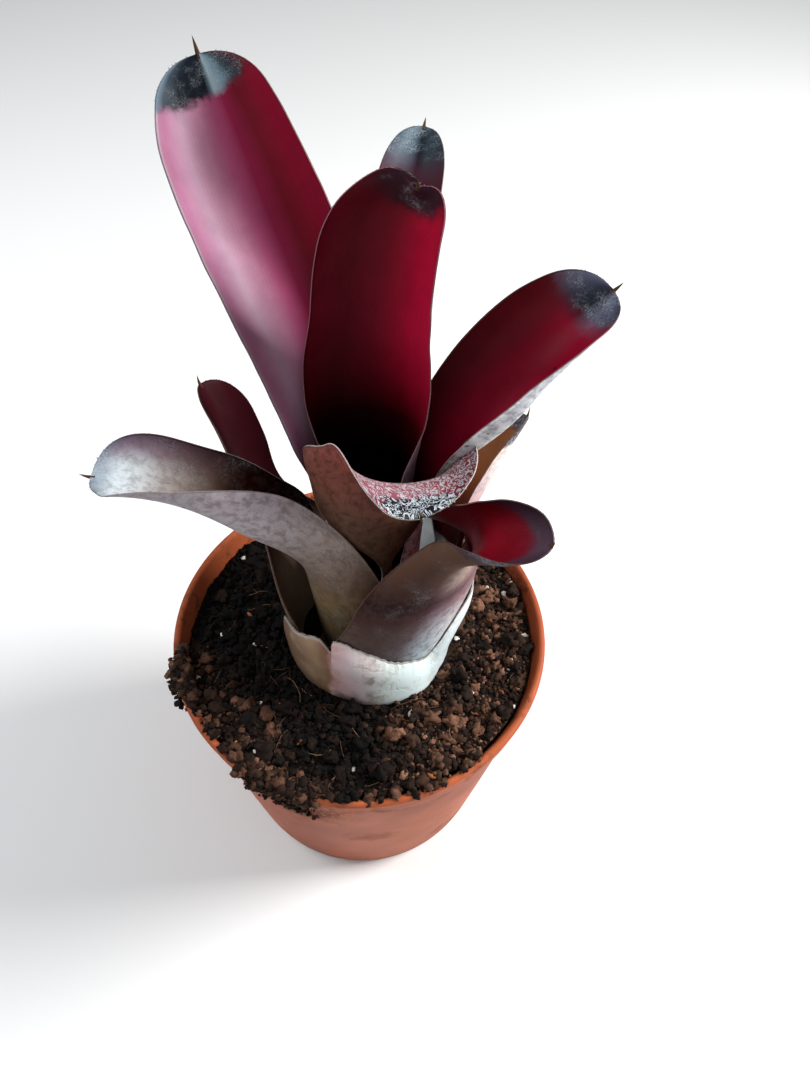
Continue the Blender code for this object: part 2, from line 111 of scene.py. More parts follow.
def unit(vectors: np.ndarray) -> np.ndarray:
    """Vectors scaled to length 1 along their last axis."""
    return vectors / np.linalg.norm(vectors, axis=-1, keepdims=True)


def curve_through(knots: tuple, values: tuple, where: np.ndarray) -> np.ndarray:
    """Smooth curve through values at knots.

    Args:
        knots: Rising places of the values.
        values: Values that the curve passes through.
        where: Places to read the curve at.

    Returns:
        The curve's values.
    """
    knots = np.asarray(knots, float)
    values = np.asarray(values, float)
    slopes = np.gradient(values, knots)
    left = np.clip(np.searchsorted(knots, where) - 1, 0, len(knots) - 2)
    step = knots[left + 1] - knots[left]
    t = np.clip((where - knots[left]) / step, 0.0, 1.0)
    start = values[left] * (2 * t**3 - 3 * t**2 + 1) + slopes[left] * step * (t**3 - 2 * t**2 + t)
    end = values[left + 1] * (3 * t**2 - 2 * t**3) + slopes[left + 1] * step * (t**3 - t**2)
    return start + end


def rough_field(points: np.ndarray, size: float, seed: float = 0.0, octaves: int = 1) -> np.ndarray:
    """Smooth noise from about -1 to 1 at each point.

    Args:
        points: Array of points, three numbers in its last axis.
        size: Width of the noise's features.
        seed: Offset that gives another pattern.
        octaves: Number of layers, each half as wide and half as strong.

    Returns:
        One value for each point.
    """
    flat = points.reshape(-1, 3) / size + seed
    total = np.zeros(len(flat))
    for octave in range(octaves):
        share = 0.5**octave
        total += share * np.array([noise.noise(Vector(p)) for p in flat * 2.0**octave])
    return total.reshape(points.shape[:-1])


def plant_matrix() -> np.ndarray:
    """Placement of the leaning plant frame, whose origin is the foot of the tube."""
    return np.array(Matrix.Translation(PLANT_FOOT) @ Matrix.Rotation(math.radians(-PLANT_LEAN), 4, "X"))


def into_world(points: np.ndarray) -> np.ndarray:
    """Points of the plant frame in the part's frame."""
    matrix = plant_matrix()
    return points @ matrix[:3, :3].T + matrix[:3, 3]


class Skin:
    """Mesh under construction, with values for the materials on its points."""

    def __init__(self, name: str) -> None:
        """Start an empty mesh."""
        self.name = name
        self.points: list[np.ndarray] = []
        self.corners: list[np.ndarray] = []
        self.values: dict[str, list[np.ndarray]] = {}
        self.count = 0

    def add(self, points: np.ndarray, faces: np.ndarray, **values: np.ndarray) -> None:
        """Add points, faces and the points' values.

        Args:
            points: Places, three numbers in the last axis.
            faces: Point numbers of three-cornered or four-cornered faces, from 0.
            **values: One number or vector for each point, or one for all of them.
        """
        points = points.reshape(-1, 3)
        self.points.append(points)
        self.corners.append(faces.reshape(-1, faces.shape[-1]) + self.count)
        for name, value in values.items():
            value = np.asarray(value, float)
            width = 3 if value.shape[-1:] == (3,) else 1
            whole = np.broadcast_to(value.reshape(-1, width), (len(points), width))
            self.values.setdefault(name, []).append(whole)
        self.count += len(points)

    def add_tube(self, rings: np.ndarray, ends: np.ndarray, flip: bool = False, **values: object) -> None:
        """Add a tube closed by a fan of faces at each end.

        Args:
            rings: Places, ring by ring.
            ends: Middle of the first end and of the last.
            flip: True where the rings run the other way round.
            **values: As for add.
        """
        count, sides = rings.shape[:2]
        start = self.count
        self.add(np.concatenate([rings.reshape(-1, 3), ends]),
                 grid_faces(count, sides, around=True, flip=flip), **values)
        spin = np.arange(sides)
        following = np.roll(spin, -1)
        last = (count - 1) * sides
        first_end = np.full(sides, count * sides)
        fans = np.concatenate([np.stack([following, spin, first_end], axis=-1),
                               np.stack([last + spin, last + following, first_end + 1], axis=-1)])
        self.corners.append((fans[:, ::-1] if flip else fans) + start)

    def build(self, smooth: bool = True) -> bpy.types.Object:
        """Scene object with this mesh.

        Args:
            smooth: True for smooth shading.

        Returns:
            The new object.
        """
        points = np.concatenate(self.points).astype(np.float32)
        sizes = np.concatenate([np.full(len(c), c.shape[1]) for c in self.corners])
        loops = np.concatenate([c.ravel() for c in self.corners])
        mesh = bpy.data.meshes.new(self.name)
        mesh.vertices.add(len(points))
        mesh.vertices.foreach_set("co", points.ravel())
        mesh.loops.add(len(loops))
        mesh.loops.foreach_set("vertex_index", loops.astype(np.int32))
        mesh.polygons.add(len(sizes))
        starts = np.concatenate([[0], np.cumsum(sizes)[:-1]])
        mesh.polygons.foreach_set("loop_start", starts.astype(np.int32))
        mesh.update(calc_edges=True)
        for name, parts in self.values.items():
            whole = np.concatenate(parts).astype(np.float32)
            kind = "FLOAT_VECTOR" if whole.shape[1] == 3 else "FLOAT"
            layer = mesh.attributes.new(name, kind, "POINT")
            layer.data.foreach_set("vector" if kind == "FLOAT_VECTOR" else "value", whole.ravel())
        mesh.validate()
        if smooth:
            mesh.shade_smooth()
        piece = bpy.data.objects.new(self.name, mesh)
        bpy.context.scene.collection.objects.link(piece)
        return piece


def grid_faces(rows: int, columns: int, around: bool = False, flip: bool = False) -> np.ndarray:
    """Four-cornered faces of a grid of points.

    Args:
        rows: Number of rows of points.
        columns: Number of points in a row.
        around: True if each row closes on itself.
        flip: True to face the other way.

    Returns:
        Point numbers, one face to a row.
    """
    number = np.arange(rows * columns).reshape(rows, columns)
    if around:
        number = np.concatenate([number, number[:, :1]], axis=1)
    faces = np.stack([number[:-1, :-1], number[:-1, 1:], number[1:, 1:], number[1:, :-1]], axis=-1)
    faces = faces.reshape(-1, 4)
    return faces[:, ::-1] if flip else faces


def grid_border(rows: int, columns: int) -> np.ndarray:
    """Point numbers once round the border of a grid of points."""
    number = np.arange(rows * columns).reshape(rows, columns)
    return np.concatenate([number[:, 0], number[-1, 1:], number[-2::-1, -1], number[0, -2:0:-1]])


class Graph:
    """Short ways to add and join the nodes of a material or a node group."""

    def __init__(self, tree: bpy.types.NodeTree) -> None:
        """Work on a node tree."""
        self.tree = tree

    def link(self, value: object, socket: bpy.types.NodeSocket) -> None:
        """Feed a socket from another socket, or set it to a plain value."""
        if isinstance(value, bpy.types.NodeSocket):
            self.tree.links.new(value, socket)
        else:
            socket.default_value = value

    def node(self, kind: str, inputs: dict | None = None, **settings: object) -> bpy.types.Node:
        """New node.

        Args:
            kind: Node type without its ShaderNode prefix.
            inputs: Sockets, or plain values, by input name or number.
            **settings: The node's own settings.

        Returns:
            The node.
        """
        made = self.tree.nodes.new(f"ShaderNode{kind}")
        for name, value in settings.items():
            setattr(made, name, value)
        for key, value in (inputs or {}).items():
            self.link(value, made.inputs[key])
        return made

    def math(self, operation: str, *values: object, clamp: bool = False) -> bpy.types.NodeSocket:
        """Result of a Math node."""
        made = self.node("Math", dict(enumerate(values)), operation=operation, use_clamp=clamp)
        return made.outputs[0]

    def mix(self, share: object, first: object, second: object,
            blend: str = "MIX") -> bpy.types.NodeSocket:
        """Colour between two colours."""
        made = self.node("Mix", data_type="RGBA", blend_type=blend, clamp_factor=True)
        self.link(share, made.inputs[0])
        self.link(first, made.inputs[6])
        self.link(second, made.inputs[7])
        return made.outputs[2]

    def step(self, value: object, low: object, high: object) -> bpy.types.NodeSocket:
        """Smooth step of a value from low to high."""
        made = self.node("MapRange", {"Value": value, "From Min": low, "From Max": high},
                         interpolation_type="SMOOTHSTEP")
        return made.outputs[0]

    def ramp(self, value: object, stops: tuple) -> bpy.types.NodeSocket:
        """Colour read along a row of (place, colour code) stops."""
        made = self.node("ValToRGB", {"Fac": value})
        elements = made.color_ramp.elements
        elements[0].position, elements[0].color = stops[0][0], tone(stops[0][1])
        elements[1].position, elements[1].color = stops[-1][0], tone(stops[-1][1])
        for place, code in stops[1:-1]:
            elements.new(place).color = tone(code)
        return made.outputs["Color"]

    def noise(self, vector: object, scale: object, detail: float = 2.0,
              roughness: float = 0.5, distortion: float = 0.0) -> bpy.types.NodeSocket:
        """Value of a Noise texture."""
        made = self.node("TexNoise", {"Vector": vector, "Scale": scale, "Detail": detail,
                                      "Roughness": roughness, "Distortion": distortion})
        return made.outputs["Fac"]

    def between(self, share: object, first: object, second: object) -> bpy.types.NodeSocket:
        """Plain value between two plain values."""
        return self.node("Mix", {0: share, 2: first, 3: second}, data_type="FLOAT").outputs[0]

    def read(self, name: str) -> bpy.types.NodeSocket:
        """Plain value kept on the mesh's points."""
        return self.node("Attribute", attribute_name=name).outputs["Fac"]

    def read_place(self, name: str) -> bpy.types.NodeSocket:
        """Place kept on the mesh's points."""
        return self.node("Attribute", attribute_name=name).outputs["Vector"]

    def group(self, tree: bpy.types.NodeTree, **inputs: object) -> bpy.types.Node:
        """Node group placed with its own inputs, named with underscores for spaces."""
        made = self.tree.nodes.new("ShaderNodeGroup")
        made.node_tree = tree
        for name, value in inputs.items():
            self.link(value, made.inputs[name.replace("_", " ")])
        return made


class Effect(Enum):
    """Effects that several materials share, each built once as a node group."""

    SCURF = "silver scurf"
    VEINS = "fine veins"
    ZONE = "end zone"
    SPOTS = "dark spots"
    GRIT = "earthy grit"


class Effects:
    """Maker and keeper of the shared node groups."""

    def __init__(self) -> None:
        """Build every effect once."""
        self.trees = {
            Effect.SCURF: self.scurf(),
            Effect.VEINS: self.veins(),
            Effect.ZONE: self.zone(),
            Effect.SPOTS: self.spots(),
            Effect.GRIT: self.grit(),
        }

    @staticmethod
    def start(effect: Effect, inputs: dict,
              outputs: tuple) -> tuple[Graph, bpy.types.Node, bpy.types.Node]:
        """New group with named sockets.

        Args:
            effect: The effect that names the group.
            inputs: Default value of each input, a 3-tuple for a vector.
            outputs: Names of the outputs, all plain values.

        Returns:
            The graph and its input and output nodes.
        """
        tree = bpy.data.node_groups.new(effect.value, "ShaderNodeTree")
        for name, value in inputs.items():
            kind = "NodeSocketVector" if isinstance(value, tuple) else "NodeSocketFloat"
            socket = tree.interface.new_socket(name, in_out="INPUT", socket_type=kind)
            socket.default_value = value
        for name in outputs:
            tree.interface.new_socket(name, in_out="OUTPUT", socket_type="NodeSocketFloat")
        graph = Graph(tree)
        return graph, tree.nodes.new("NodeGroupInput"), tree.nodes.new("NodeGroupOutput")

    def scurf(self) -> bpy.types.NodeTree:
        """Silvery scales in wavy crests and powder, denser in patches."""
        graph, given, out = self.start(
            Effect.SCURF, {"Place": (0.0, 0.0, 0.0), "Cover": 0.5, "Pitch": 0.0008, "Crests": 0.5},
            ("Mask",))
        spread = 0.22
        scale = graph.math("DIVIDE", 1.0, given.outputs["Pitch"])
        wavy = graph.noise(given.outputs["Place"], graph.math("MULTIPLY", scale, 0.5), 2.0, 0.55, 1.6)
        crest = graph.step(graph.math("ABSOLUTE", graph.math("SUBTRACT", wavy, 0.5)), 0.075, 0.01)
        powder = graph.step(graph.noise(given.outputs["Place"], scale, 3.0, 0.7), 0.42, 0.62)
        patches = graph.noise(given.outputs["Place"], graph.math("MULTIPLY", scale, 0.07), 3.0, 0.6)
        bare = graph.math("SUBTRACT", 1.0, given.outputs["Cover"])
        dense = graph.step(patches, graph.math("SUBTRACT", bare, spread), graph.math("ADD", bare, spread))
        pattern = graph.between(given.outputs["Crests"], powder, crest)
        mask = graph.math("MULTIPLY", pattern, dense)
        graph.link(mask, out.inputs["Mask"])
        return graph.tree

    def veins(self) -> bpy.types.NodeTree:
        """Close parallel lines along a leaf."""
        graph, given, out = self.start(
            Effect.VEINS, {"Place": (0.0, 0.0, 0.0), "Spacing": 0.001, "Wander": 0.4},
            ("Line", "Height"))
        apart = graph.node("SeparateXYZ", {0: given.outputs["Place"]})
        stretch = graph.node("VectorMath", {0: given.outputs["Place"], 1: (900.0, 60.0, 60.0)},
                             operation="MULTIPLY")
        drift = graph.math("MULTIPLY", graph.noise(stretch.outputs[0], 0.5, 2.0), given.outputs["Wander"])
        place = graph.math("ADD", graph.math("DIVIDE", apart.outputs["X"], given.outputs["Spacing"]), drift)
        swing = graph.math("SINE", graph.math("MULTIPLY", place, 2 * math.pi))
        line = graph.math("MULTIPLY_ADD", swing, 0.5, 0.5)
        graph.link(line, out.inputs["Line"])
        graph.link(graph.math("POWER", line, 0.6), out.inputs["Height"])
        return graph.tree

    def zone(self) -> bpy.types.NodeTree:
        """Mask of a leaf's end beyond a bowed and ragged border."""
        graph, given, out = self.start(
            Effect.ZONE, {"Place": (0.0, 0.0, 0.0), "Along": 0.0, "Across": 0.0, "Start": 0.9,
                          "Blur": 0.02, "Bow": 0.0, "Tilt": 0.0, "Ragged": 0.02}, ("Mask",))
        bowed = graph.math("MULTIPLY_ADD", given.outputs["Across"], given.outputs["Bow"],
                           graph.math("MULTIPLY", given.outputs["Tilt"], -1.0))
        bowed = graph.math("MULTIPLY", bowed, given.outputs["Across"])
        ragged = graph.math("MULTIPLY", graph.math(
            "SUBTRACT", graph.noise(given.outputs["Place"], 260.0, 4.0, 0.65), 0.5), given.outputs["Ragged"])
        border = graph.math("ADD", graph.math("ADD", given.outputs["Start"], bowed), ragged)
        mask = graph.step(given.outputs["Along"], graph.math("SUBTRACT", border, given.outputs["Blur"]),
                          graph.math("ADD", border, given.outputs["Blur"]))
        graph.link(mask, out.inputs["Mask"])
        return graph.tree

    def spots(self) -> bpy.types.NodeTree:
        """Scattered soft dots of uneven size."""
        graph, given, out = self.start(
            Effect.SPOTS, {"Place": (0.0, 0.0, 0.0), "Spacing": 0.005, "Amount": 0.3}, ("Mask",))
        cells = graph.node("TexVoronoi", {"Vector": given.outputs["Place"],
                                          "Scale": graph.math("DIVIDE", 1.0, given.outputs["Spacing"])})
        pick = graph.node("SeparateColor", {0: cells.outputs["Color"]})
        wide = graph.math("MULTIPLY_ADD", pick.outputs[1], 0.16, 0.07)
        dot = graph.step(cells.outputs["Distance"], wide, graph.math("MULTIPLY", wide, 0.45))
        chosen = graph.math("LESS_THAN", pick.outputs[0], given.outputs["Amount"])
        graph.link(graph.math("MULTIPLY", dot, chosen), out.inputs["Mask"])
        return graph.tree

    def grit(self) -> bpy.types.NodeTree:
        """Coarse and fine graininess of earth and of what it stains."""
        graph, given, out = self.start(
            Effect.GRIT, {"Place": (0.0, 0.0, 0.0), "Size": 0.002}, ("Broad", "Fine", "Height"))
        scale = graph.math("DIVIDE", 1.0, given.outputs["Size"])
        broad = graph.noise(given.outputs["Place"], graph.math("MULTIPLY", scale, 0.12), 3.0, 0.6)
        fine = graph.noise(given.outputs["Place"], scale, 4.0, 0.7)
        graph.link(broad, out.inputs["Broad"])
        graph.link(fine, out.inputs["Fine"])
        graph.link(graph.math("MULTIPLY_ADD", broad, 0.5, fine), out.inputs["Height"])
        return graph.tree


class Material:
    """Principled material with its graph, output and bump ready."""

    def __init__(self, name: str, **constants: object) -> None:
        """New material.

        Args:
            name: Name of the material.
            **constants: Values of the shader's own sockets, underscores for spaces.
        """
        self.material = bpy.data.materials.new(name)
        self.material.use_nodes = True
        self.graph = Graph(self.material.node_tree)
        self.shader = self.material.node_tree.nodes["Principled BSDF"]
        for key, value in constants.items():
            self.shader.inputs[key.replace("_", " ")].default_value = value

    def feed(self, name: str, value: object) -> None:
        """Feed one of the shader's inputs."""
        self.graph.link(value, self.shader.inputs[name])

    def bump(self, height: object, depth: float) -> None:
        """Relief from a height that changes over the surface, its depth in metres."""
        made = self.graph.node("Bump", {"Height": height, "Distance": depth, "Strength": 1.0})
        self.feed("Normal", made.outputs["Normal"])

    def put_on(self, piece: bpy.types.Object) -> None:
        """Dress a piece."""
        piece.data.materials.clear()
        piece.data.materials.append(self.material)


@dataclass(frozen=True)
class Face:
    """Colouring of one face of a leaf.

    along and across are rows of (place, colour code) stops that are multiplied together,
    along from foot to tip and across from the clockwise side, 0, to the other, 1.
    """

    along: tuple
    across: tuple = WHITE
    silver: float = 0.2
    silver_at_tip: float = 0.5
    crests: float = 0.2
    roughness: float = 0.42
    spots: float = 0.0
    mottle: str = "5a4a50"
    mottled: float = 0.0
    pitch: float = 0.0006


@dataclass(frozen=True)
class LeafPaint:
    """Finish of one leaf, face by face, with its dark and silvery end."""

    inner: Face
    outer: Face
    tip: str = "1d1b25"
    tip_from: float = 0.9
    tip_blur: float = 0.015
    tip_bow: float = 0.0
    tip_tilt: float = 0.0
    tip_silver: str = "c3ced6"
    tip_across: tuple = WHITE
    margin: str = "6d5a52"
    shine: float = 0.07


@dataclass(frozen=True)
class Flap:
    """Widening of one side of a leaf round a fraction of its length, or narrowing if below 0."""

    side: int
    at: float
    reach: float
    extra: float


@dataclass(frozen=True)
class Nudge:
    """Soft push of a leaf's surface, its directions those of the midrib at the same fraction."""

    at: float
    side: float
    reach_along: float
    reach_across: float
    along: float = 0.0
    across: float = 0.0
    inward: float = 0.0


@dataclass(frozen=True)
class LeafShape:
    """Driving dimensions of one leaf, angles measured in the leaning plant's own frame.

    azimuth is the side that the leaf grows to, 0 on +X and 90 on +Y. flare is the sheath's
    angle to the plant axis. leans are the midrib's angles to that axis at the fractions of
    the length given in lean_at. drift and tip_drift turn the blade sideways, and twist turns
    its section about the midrib. wrap is half the angle that the sheath takes at its foot.
    A skew adds that share of the width on the anticlockwise side and takes it off the other.
    keel is the depth of the crease along the midrib close to the tip, and hook is how far the
    very tip is pulled inwards and down.
    """

    node: str
    layer: int
    azimuth: float
    length: float
    flare: float
    leans: tuple
    sheath_end: float
    neck_half_width: float
    blade_half_width: float
    neck_channel: float
    tip_channel: float
    wrap: float
    sheath_skew: float = 0.0
    blade_skew: float = 0.0
    drift: float = 0.0
    tip_drift: float = 0.0
    twist: float = 0.0
    neck_at: float = 0.50
    widest_at: float = 0.74
    rounding_from: float = 0.80
    lean_at: tuple = (0.45, 0.72, 1.0)
    spine: float = 0.004
    hook: float = 0.0
    wave: float = 0.0004
    keel: float = 0.0005
    flaps: tuple[Flap, ...] = ()
    nudges: tuple[Nudge, ...] = ()

    @property
    def foot_radius(self) -> float:
        """Radius of the sheath at its foot."""
        return LAYER_OUTER_RADIUS - self.layer * LAYER_PITCH


@dataclass
class Leaf:
    """One leaf, from its wrapped sheath to its spine."""

    shape: LeafShape
    paint: LeafPaint
    effects: Effects
    rows: int = 150
    columns: int = 40
    middle_thickness: float = 0.00115
    tip_thickness: float = 0.0008
    edge_thickness: float = 0.00032
    tip_half_width: float = 0.0007
    tooth_pitch: float = 0.0014
    tooth_length: float = 0.00065
    tooth_width: float = 0.0002
    tip_crowding: float = 1.25
    tip_bluntness: float = 2.2
    margin_crowding: float = 0.35
    broad_wave: float = 0.022
    fine_wave: float = 0.008
    hook_reach: float = 0.0065
    hook_width: float = 0.0045
    crease_width: float = 0.0028
    crease_from: float = 0.84
    spine_rings: int = 14
    spine_sides: int = 10
    spine_bend: float = 0.28
    spine_sunk: float = 0.0012
    spine_flatness: float = 0.62

    def midrib(self, where: np.ndarray) -> tuple[np.ndarray, np.ndarray, np.ndarray, np.ndarray]:
        """Midrib of the leaf.

        Args:
            where: Fractions of the length.

        Returns:
            Points and the directions along, across and inwards at each fraction.
        """
        shape = self.shape
        fine = np.linspace(0.0, 1.0, MIDRIB_STEPS + 1)
        straight = shape.sheath_end * 0.6
        knots = (0.0, straight, *shape.lean_at)
        lean = np.radians(curve_through(knots, (shape.flare, shape.flare, *shape.leans), fine))
        lean = np.where(fine < straight, math.radians(shape.flare), lean)
        drift = (math.radians(shape.drift) * ease((fine - 0.12) / 0.3)
                 + math.radians(shape.tip_drift) * ease((fine - 0.45) / 0.55))
        azimuth = math.radians(shape.azimuth)
        outward = np.array([math.cos(azimuth), math.sin(azimuth), 0.0])
        around = np.array([-math.sin(azimuth), math.cos(azimuth), 0.0])
        upward = np.array([0.0, 0.0, 1.0])
        along = unit(np.sin(lean)[:, None] * outward + np.tan(drift)[:, None] * around
                     + np.cos(lean)[:, None] * upward)
        run = (along[1:] + along[:-1]) / 2 * (shape.length / MIDRIB_STEPS)
        start = shape.foot_radius * outward + shape.layer * LAYER_STEP_UP * upward
        points = np.concatenate([start[None], start + np.cumsum(run, axis=0)])

        def sample(track: np.ndarray) -> np.ndarray:
            """Track read at the fractions asked for."""
            return np.stack([np.interp(where, fine, track[:, axis]) for axis in range(3)], axis=-1)

        along = unit(sample(along))
        across = unit(around - (along @ around)[:, None] * along)
        inward = np.cross(along, across)
        turn = (math.radians(shape.twist) * ease((where - 0.2) / 0.8))[:, None]
        turned_across = np.cos(turn) * across + np.sin(turn) * inward
        turned_inward = np.cos(turn) * inward - np.sin(turn) * across
        return sample(points), along, turned_across, turned_inward

    def half_widths(self, where: np.ndarray) -> np.ndarray:
        """Half width along the surface at fractions of the length."""
        shape = self.shape
        wrap = math.radians(shape.wrap)
        flare = math.radians(shape.flare)
        middle = wrap * (shape.foot_radius + 0.5 * shape.sheath_end * shape.length * math.sin(flare))
        knots = (0.0, 0.5 * shape.sheath_end, shape.sheath_end, shape.neck_at, shape.widest_at, 1.0)
        widths = (wrap * shape.foot_radius, middle, 0.55 * middle + 0.45 * shape.neck_half_width,
                  shape.neck_half_width, shape.blade_half_width, 0.97 * shape.blade_half_width)
        into_tip = np.clip((where - shape.rounding_from) / (1.0 - shape.rounding_from), 0.0, 1.0)
        rounding = np.sqrt(np.clip(1.0 - into_tip**self.tip_bluntness, 0.0, 1.0))
        return curve_through(knots, widths, where) * rounding

    def surface(self, where: np.ndarray, sides: np.ndarray,
                widths: np.ndarray) -> tuple[np.ndarray, np.ndarray]:
        """Middle surface of the leaf.

        Args:
            where: Fractions of the length, one for each row.
            sides: Places across from -1 to 1, one for each column.
            widths: Half width of each row.

        Returns:
            Points and inward normals, in the plant frame.
        """
        shape = self.shape
        centre, _, across, inward = self.midrib(where)
        flare = math.radians(shape.flare)
        climb = where * shape.length * math.cos(flare)
        height = shape.layer * LAYER_STEP_UP + climb
        radius = shape.foot_radius + climb * math.tan(flare)
        blade = ease((where - 0.6 * shape.sheath_end) / (1.4 * shape.sheath_end))
        channel = shape.neck_channel + (shape.tip_channel - shape.neck_channel) * ease((where - 0.5) / 0.5)
        bend = 1.0 / ((1.0 - blade) * math.cos(flare) / radius + blade / channel)
        into_blade = ease((where - 0.8 * shape.neck_at) / (shape.widest_at - 0.8 * shape.neck_at))
        skew = shape.sheath_skew + (shape.blade_skew - shape.sheath_skew) * into_blade
        places = sides[None, :] * (1.0 + skew[:, None] * np.sign(sides)[None, :]) * widths[:, None]
        for flap in shape.flaps:
            share = np.clip(sides * flap.side, 0.0, 1.0) ** 1.4
            near = np.exp(-((where - flap.at) / flap.reach) ** 2)
            places = places + flap.side * flap.extra * near[:, None] * share[None, :]
        angle = places / bend[:, None]
        on_blade = (centre[:, None] + (bend[:, None] * np.sin(angle))[..., None] * across[:, None]
                    + (bend[:, None] * (1.0 - np.cos(angle)))[..., None] * inward[:, None])
        blade_normal = (np.cos(angle)[..., None] * inward[:, None]
                        - np.sin(angle)[..., None] * across[:, None])
        heading = math.radians(shape.azimuth) + places / radius[:, None]
        on_cone = np.stack([radius[:, None] * np.cos(heading), radius[:, None] * np.sin(heading),
                            np.broadcast_to(height[:, None], heading.shape)], axis=-1)
        cone_normal = np.stack([-np.cos(heading) * math.cos(flare), -np.sin(heading) * math.cos(flare),
                                np.full(heading.shape, math.sin(flare))], axis=-1)
        share = blade[:, None, None]
        normal = unit((1 - share) * cone_normal + share * blade_normal)
        return (1 - share) * on_cone + share * on_blade, normal

    def shaped(self) -> tuple[np.ndarray, ...]:
        """Points, normals, thickness, fractions, places across and places on the leaf laid flat."""
        shape = self.shape
        where = 1.0 - (1.0 - np.linspace(0.0, 1.0, self.rows + 1)) ** self.tip_crowding
        even = np.linspace(-1.0, 1.0, self.columns + 1)
        sides = np.sin(even * math.pi / 2) * self.margin_crowding + even * (1.0 - self.margin_crowding)
        widths = np.maximum(self.half_widths(where), self.tip_half_width)
        points, normal = self.surface(where, sides, widths)
        free = ease((where - shape.sheath_end) / 0.25)[:, None]
        from_rib = sides[None, :] * widths[:, None]
        strip = np.stack([from_rib, np.broadcast_to(where[:, None] * shape.length, points.shape[:2]),
                          np.full(points.shape[:2], shape.layer * 0.5)], axis=-1)
        broad = rough_field(strip, self.broad_wave, shape.layer * 3.7)
        ruffle = rough_field(strip, self.fine_wave, shape.layer * 5.1 + 9.0)
        lift = shape.wave * free * (broad + 0.8 * ruffle * np.abs(sides)[None, :] ** 3)
        points = points + lift[..., None] * normal
        from_end = (1.0 - where)[:, None] * shape.length
        pull = np.exp(-(from_end / self.hook_reach) ** 2 - (from_rib / self.hook_width) ** 2)
        _, along, across, inward = self.midrib(where)
        points = points + shape.hook * pull[..., None] * (normal - 0.9 * along[:, None])
        crease = np.exp(-(from_rib / self.crease_width) ** 2)
        keel = shape.keel * ease((where - self.crease_from) / 0.1)
        points = points - keel[:, None, None] * crease[..., None] * normal
        for nudge in shape.nudges:
            weight = np.exp(-(((where - nudge.at) / nudge.reach_along) ** 2)[:, None]
                            - (((sides - nudge.side) / nudge.reach_across) ** 2)[None, :])
            push = nudge.along * along + nudge.across * across + nudge.inward * inward
            points = points + weight[..., None] * push[:, None]
        rib = self.middle_thickness + (self.tip_thickness - self.middle_thickness) * ease(where)
        thickness = self.edge_thickness + (rib - self.edge_thickness)[:, None] * (1.0 - sides**4)[None, :]
        return points, normal, thickness, where, sides, strip

    def build(self) -> bpy.types.Object:
        """Skin, margins, teeth and spine as one piece."""
        shape = self.shape
        points, normal, thickness, where, sides, strip = self.shaped()
        rows, columns = points.shape[:2]
        half = (thickness / 2)[..., None] * normal
        along = np.broadcast_to(where[:, None], (rows, columns))
        across = np.broadcast_to(sides[None, :], (rows, columns))
        skin = Skin(f"{shape.node}_skin")
        world = into_world(points)
        lift = into_world(points + half) - world
        for inner, side in ((1.0, 1.0), (0.0, -1.0)):
            skin.add(world + side * lift, grid_faces(rows, columns, flip=side < 0), along=along,
                     across=across, inner=inner, strip=strip)
        count = rows * columns
        loop = grid_border(rows, columns)
        outward = np.zeros_like(world)
        outward[:, 0] = unit(world[:, 0] - world[:, 1])
        outward[:, -1] = unit(world[:, -1] - world[:, -2])
        edge = (world + outward * self.edge_thickness * 0.5).reshape(-1, 3)[loop]
        skin.add(edge, np.zeros((0, 4), int), along=along.ravel()[loop], across=across.ravel()[loop],
                 inner=0.5, strip=strip.reshape(-1, 3)[loop])
        bead = 2 * count + np.arange(len(loop))
        following = np.roll(np.arange(len(loop)), -1)
        upper = np.stack([loop, bead, bead[following], loop[following]], axis=-1)
        lower = np.stack([bead, loop + count, (loop + count)[following], bead[following]], axis=-1)
        skin.corners.append(np.concatenate([upper, lower]))
        self.add_teeth(skin, world, normal, where, strip)
        self.add_spine(skin, world, normal, strip)
        return skin.build()

    def add_teeth(self, skin: Skin, world: np.ndarray, normal: np.ndarray, where: np.ndarray,
                  strip: np.ndarray) -> None:
        """Small forward-pointing teeth along both margins.

        Args:
            skin: Mesh that they join.
            world: Middle surface of the leaf.
            normal: Its inward normals, in the plant frame.
            where: Fraction of the length of each row.
            strip: Places on the leaf laid flat.
        """
        rng = random.Random(f"teeth {self.shape.node}")
        facing = normal @ plant_matrix()[:3, :3].T
        tooth_faces = np.array([[0, 1, 2], [0, 3, 1], [1, 3, 2], [2, 3, 0]])
        for column, inner_column in ((0, 1), (-1, -2)):
            margin = world[:, column]
            steps = np.linalg.norm(np.diff(margin, axis=0), axis=1)
            travelled = np.concatenate([[0.0], np.cumsum(steps)])
            place = np.interp(self.shape.sheath_end * 0.8, where, travelled)
            while place < travelled[-1] - 0.001:
                row = int(np.searchsorted(travelled, place))
                foot = margin[row]
                out = unit(foot - world[row, inner_column])
                forward = unit(margin[min(row + 1, len(margin) - 1)] - margin[row - 1])
                length = self.tooth_length * rng.uniform(0.6, 1.3)
                point = unit(out + rng.uniform(0.3, 0.9) * forward)
                width = self.tooth_width * rng.uniform(0.8, 1.3)
                base = foot - out * self.edge_thickness
                tooth = np.stack([base + forward * width, base - forward * width,
                                  base + facing[row, column] * width * 0.8, base + point * length])
                skin.add(tooth, tooth_faces, along=where[row], across=1.0, inner=0.5,
                         strip=strip[row, column])
                place += self.tooth_pitch * rng.uniform(0.6, 1.5)

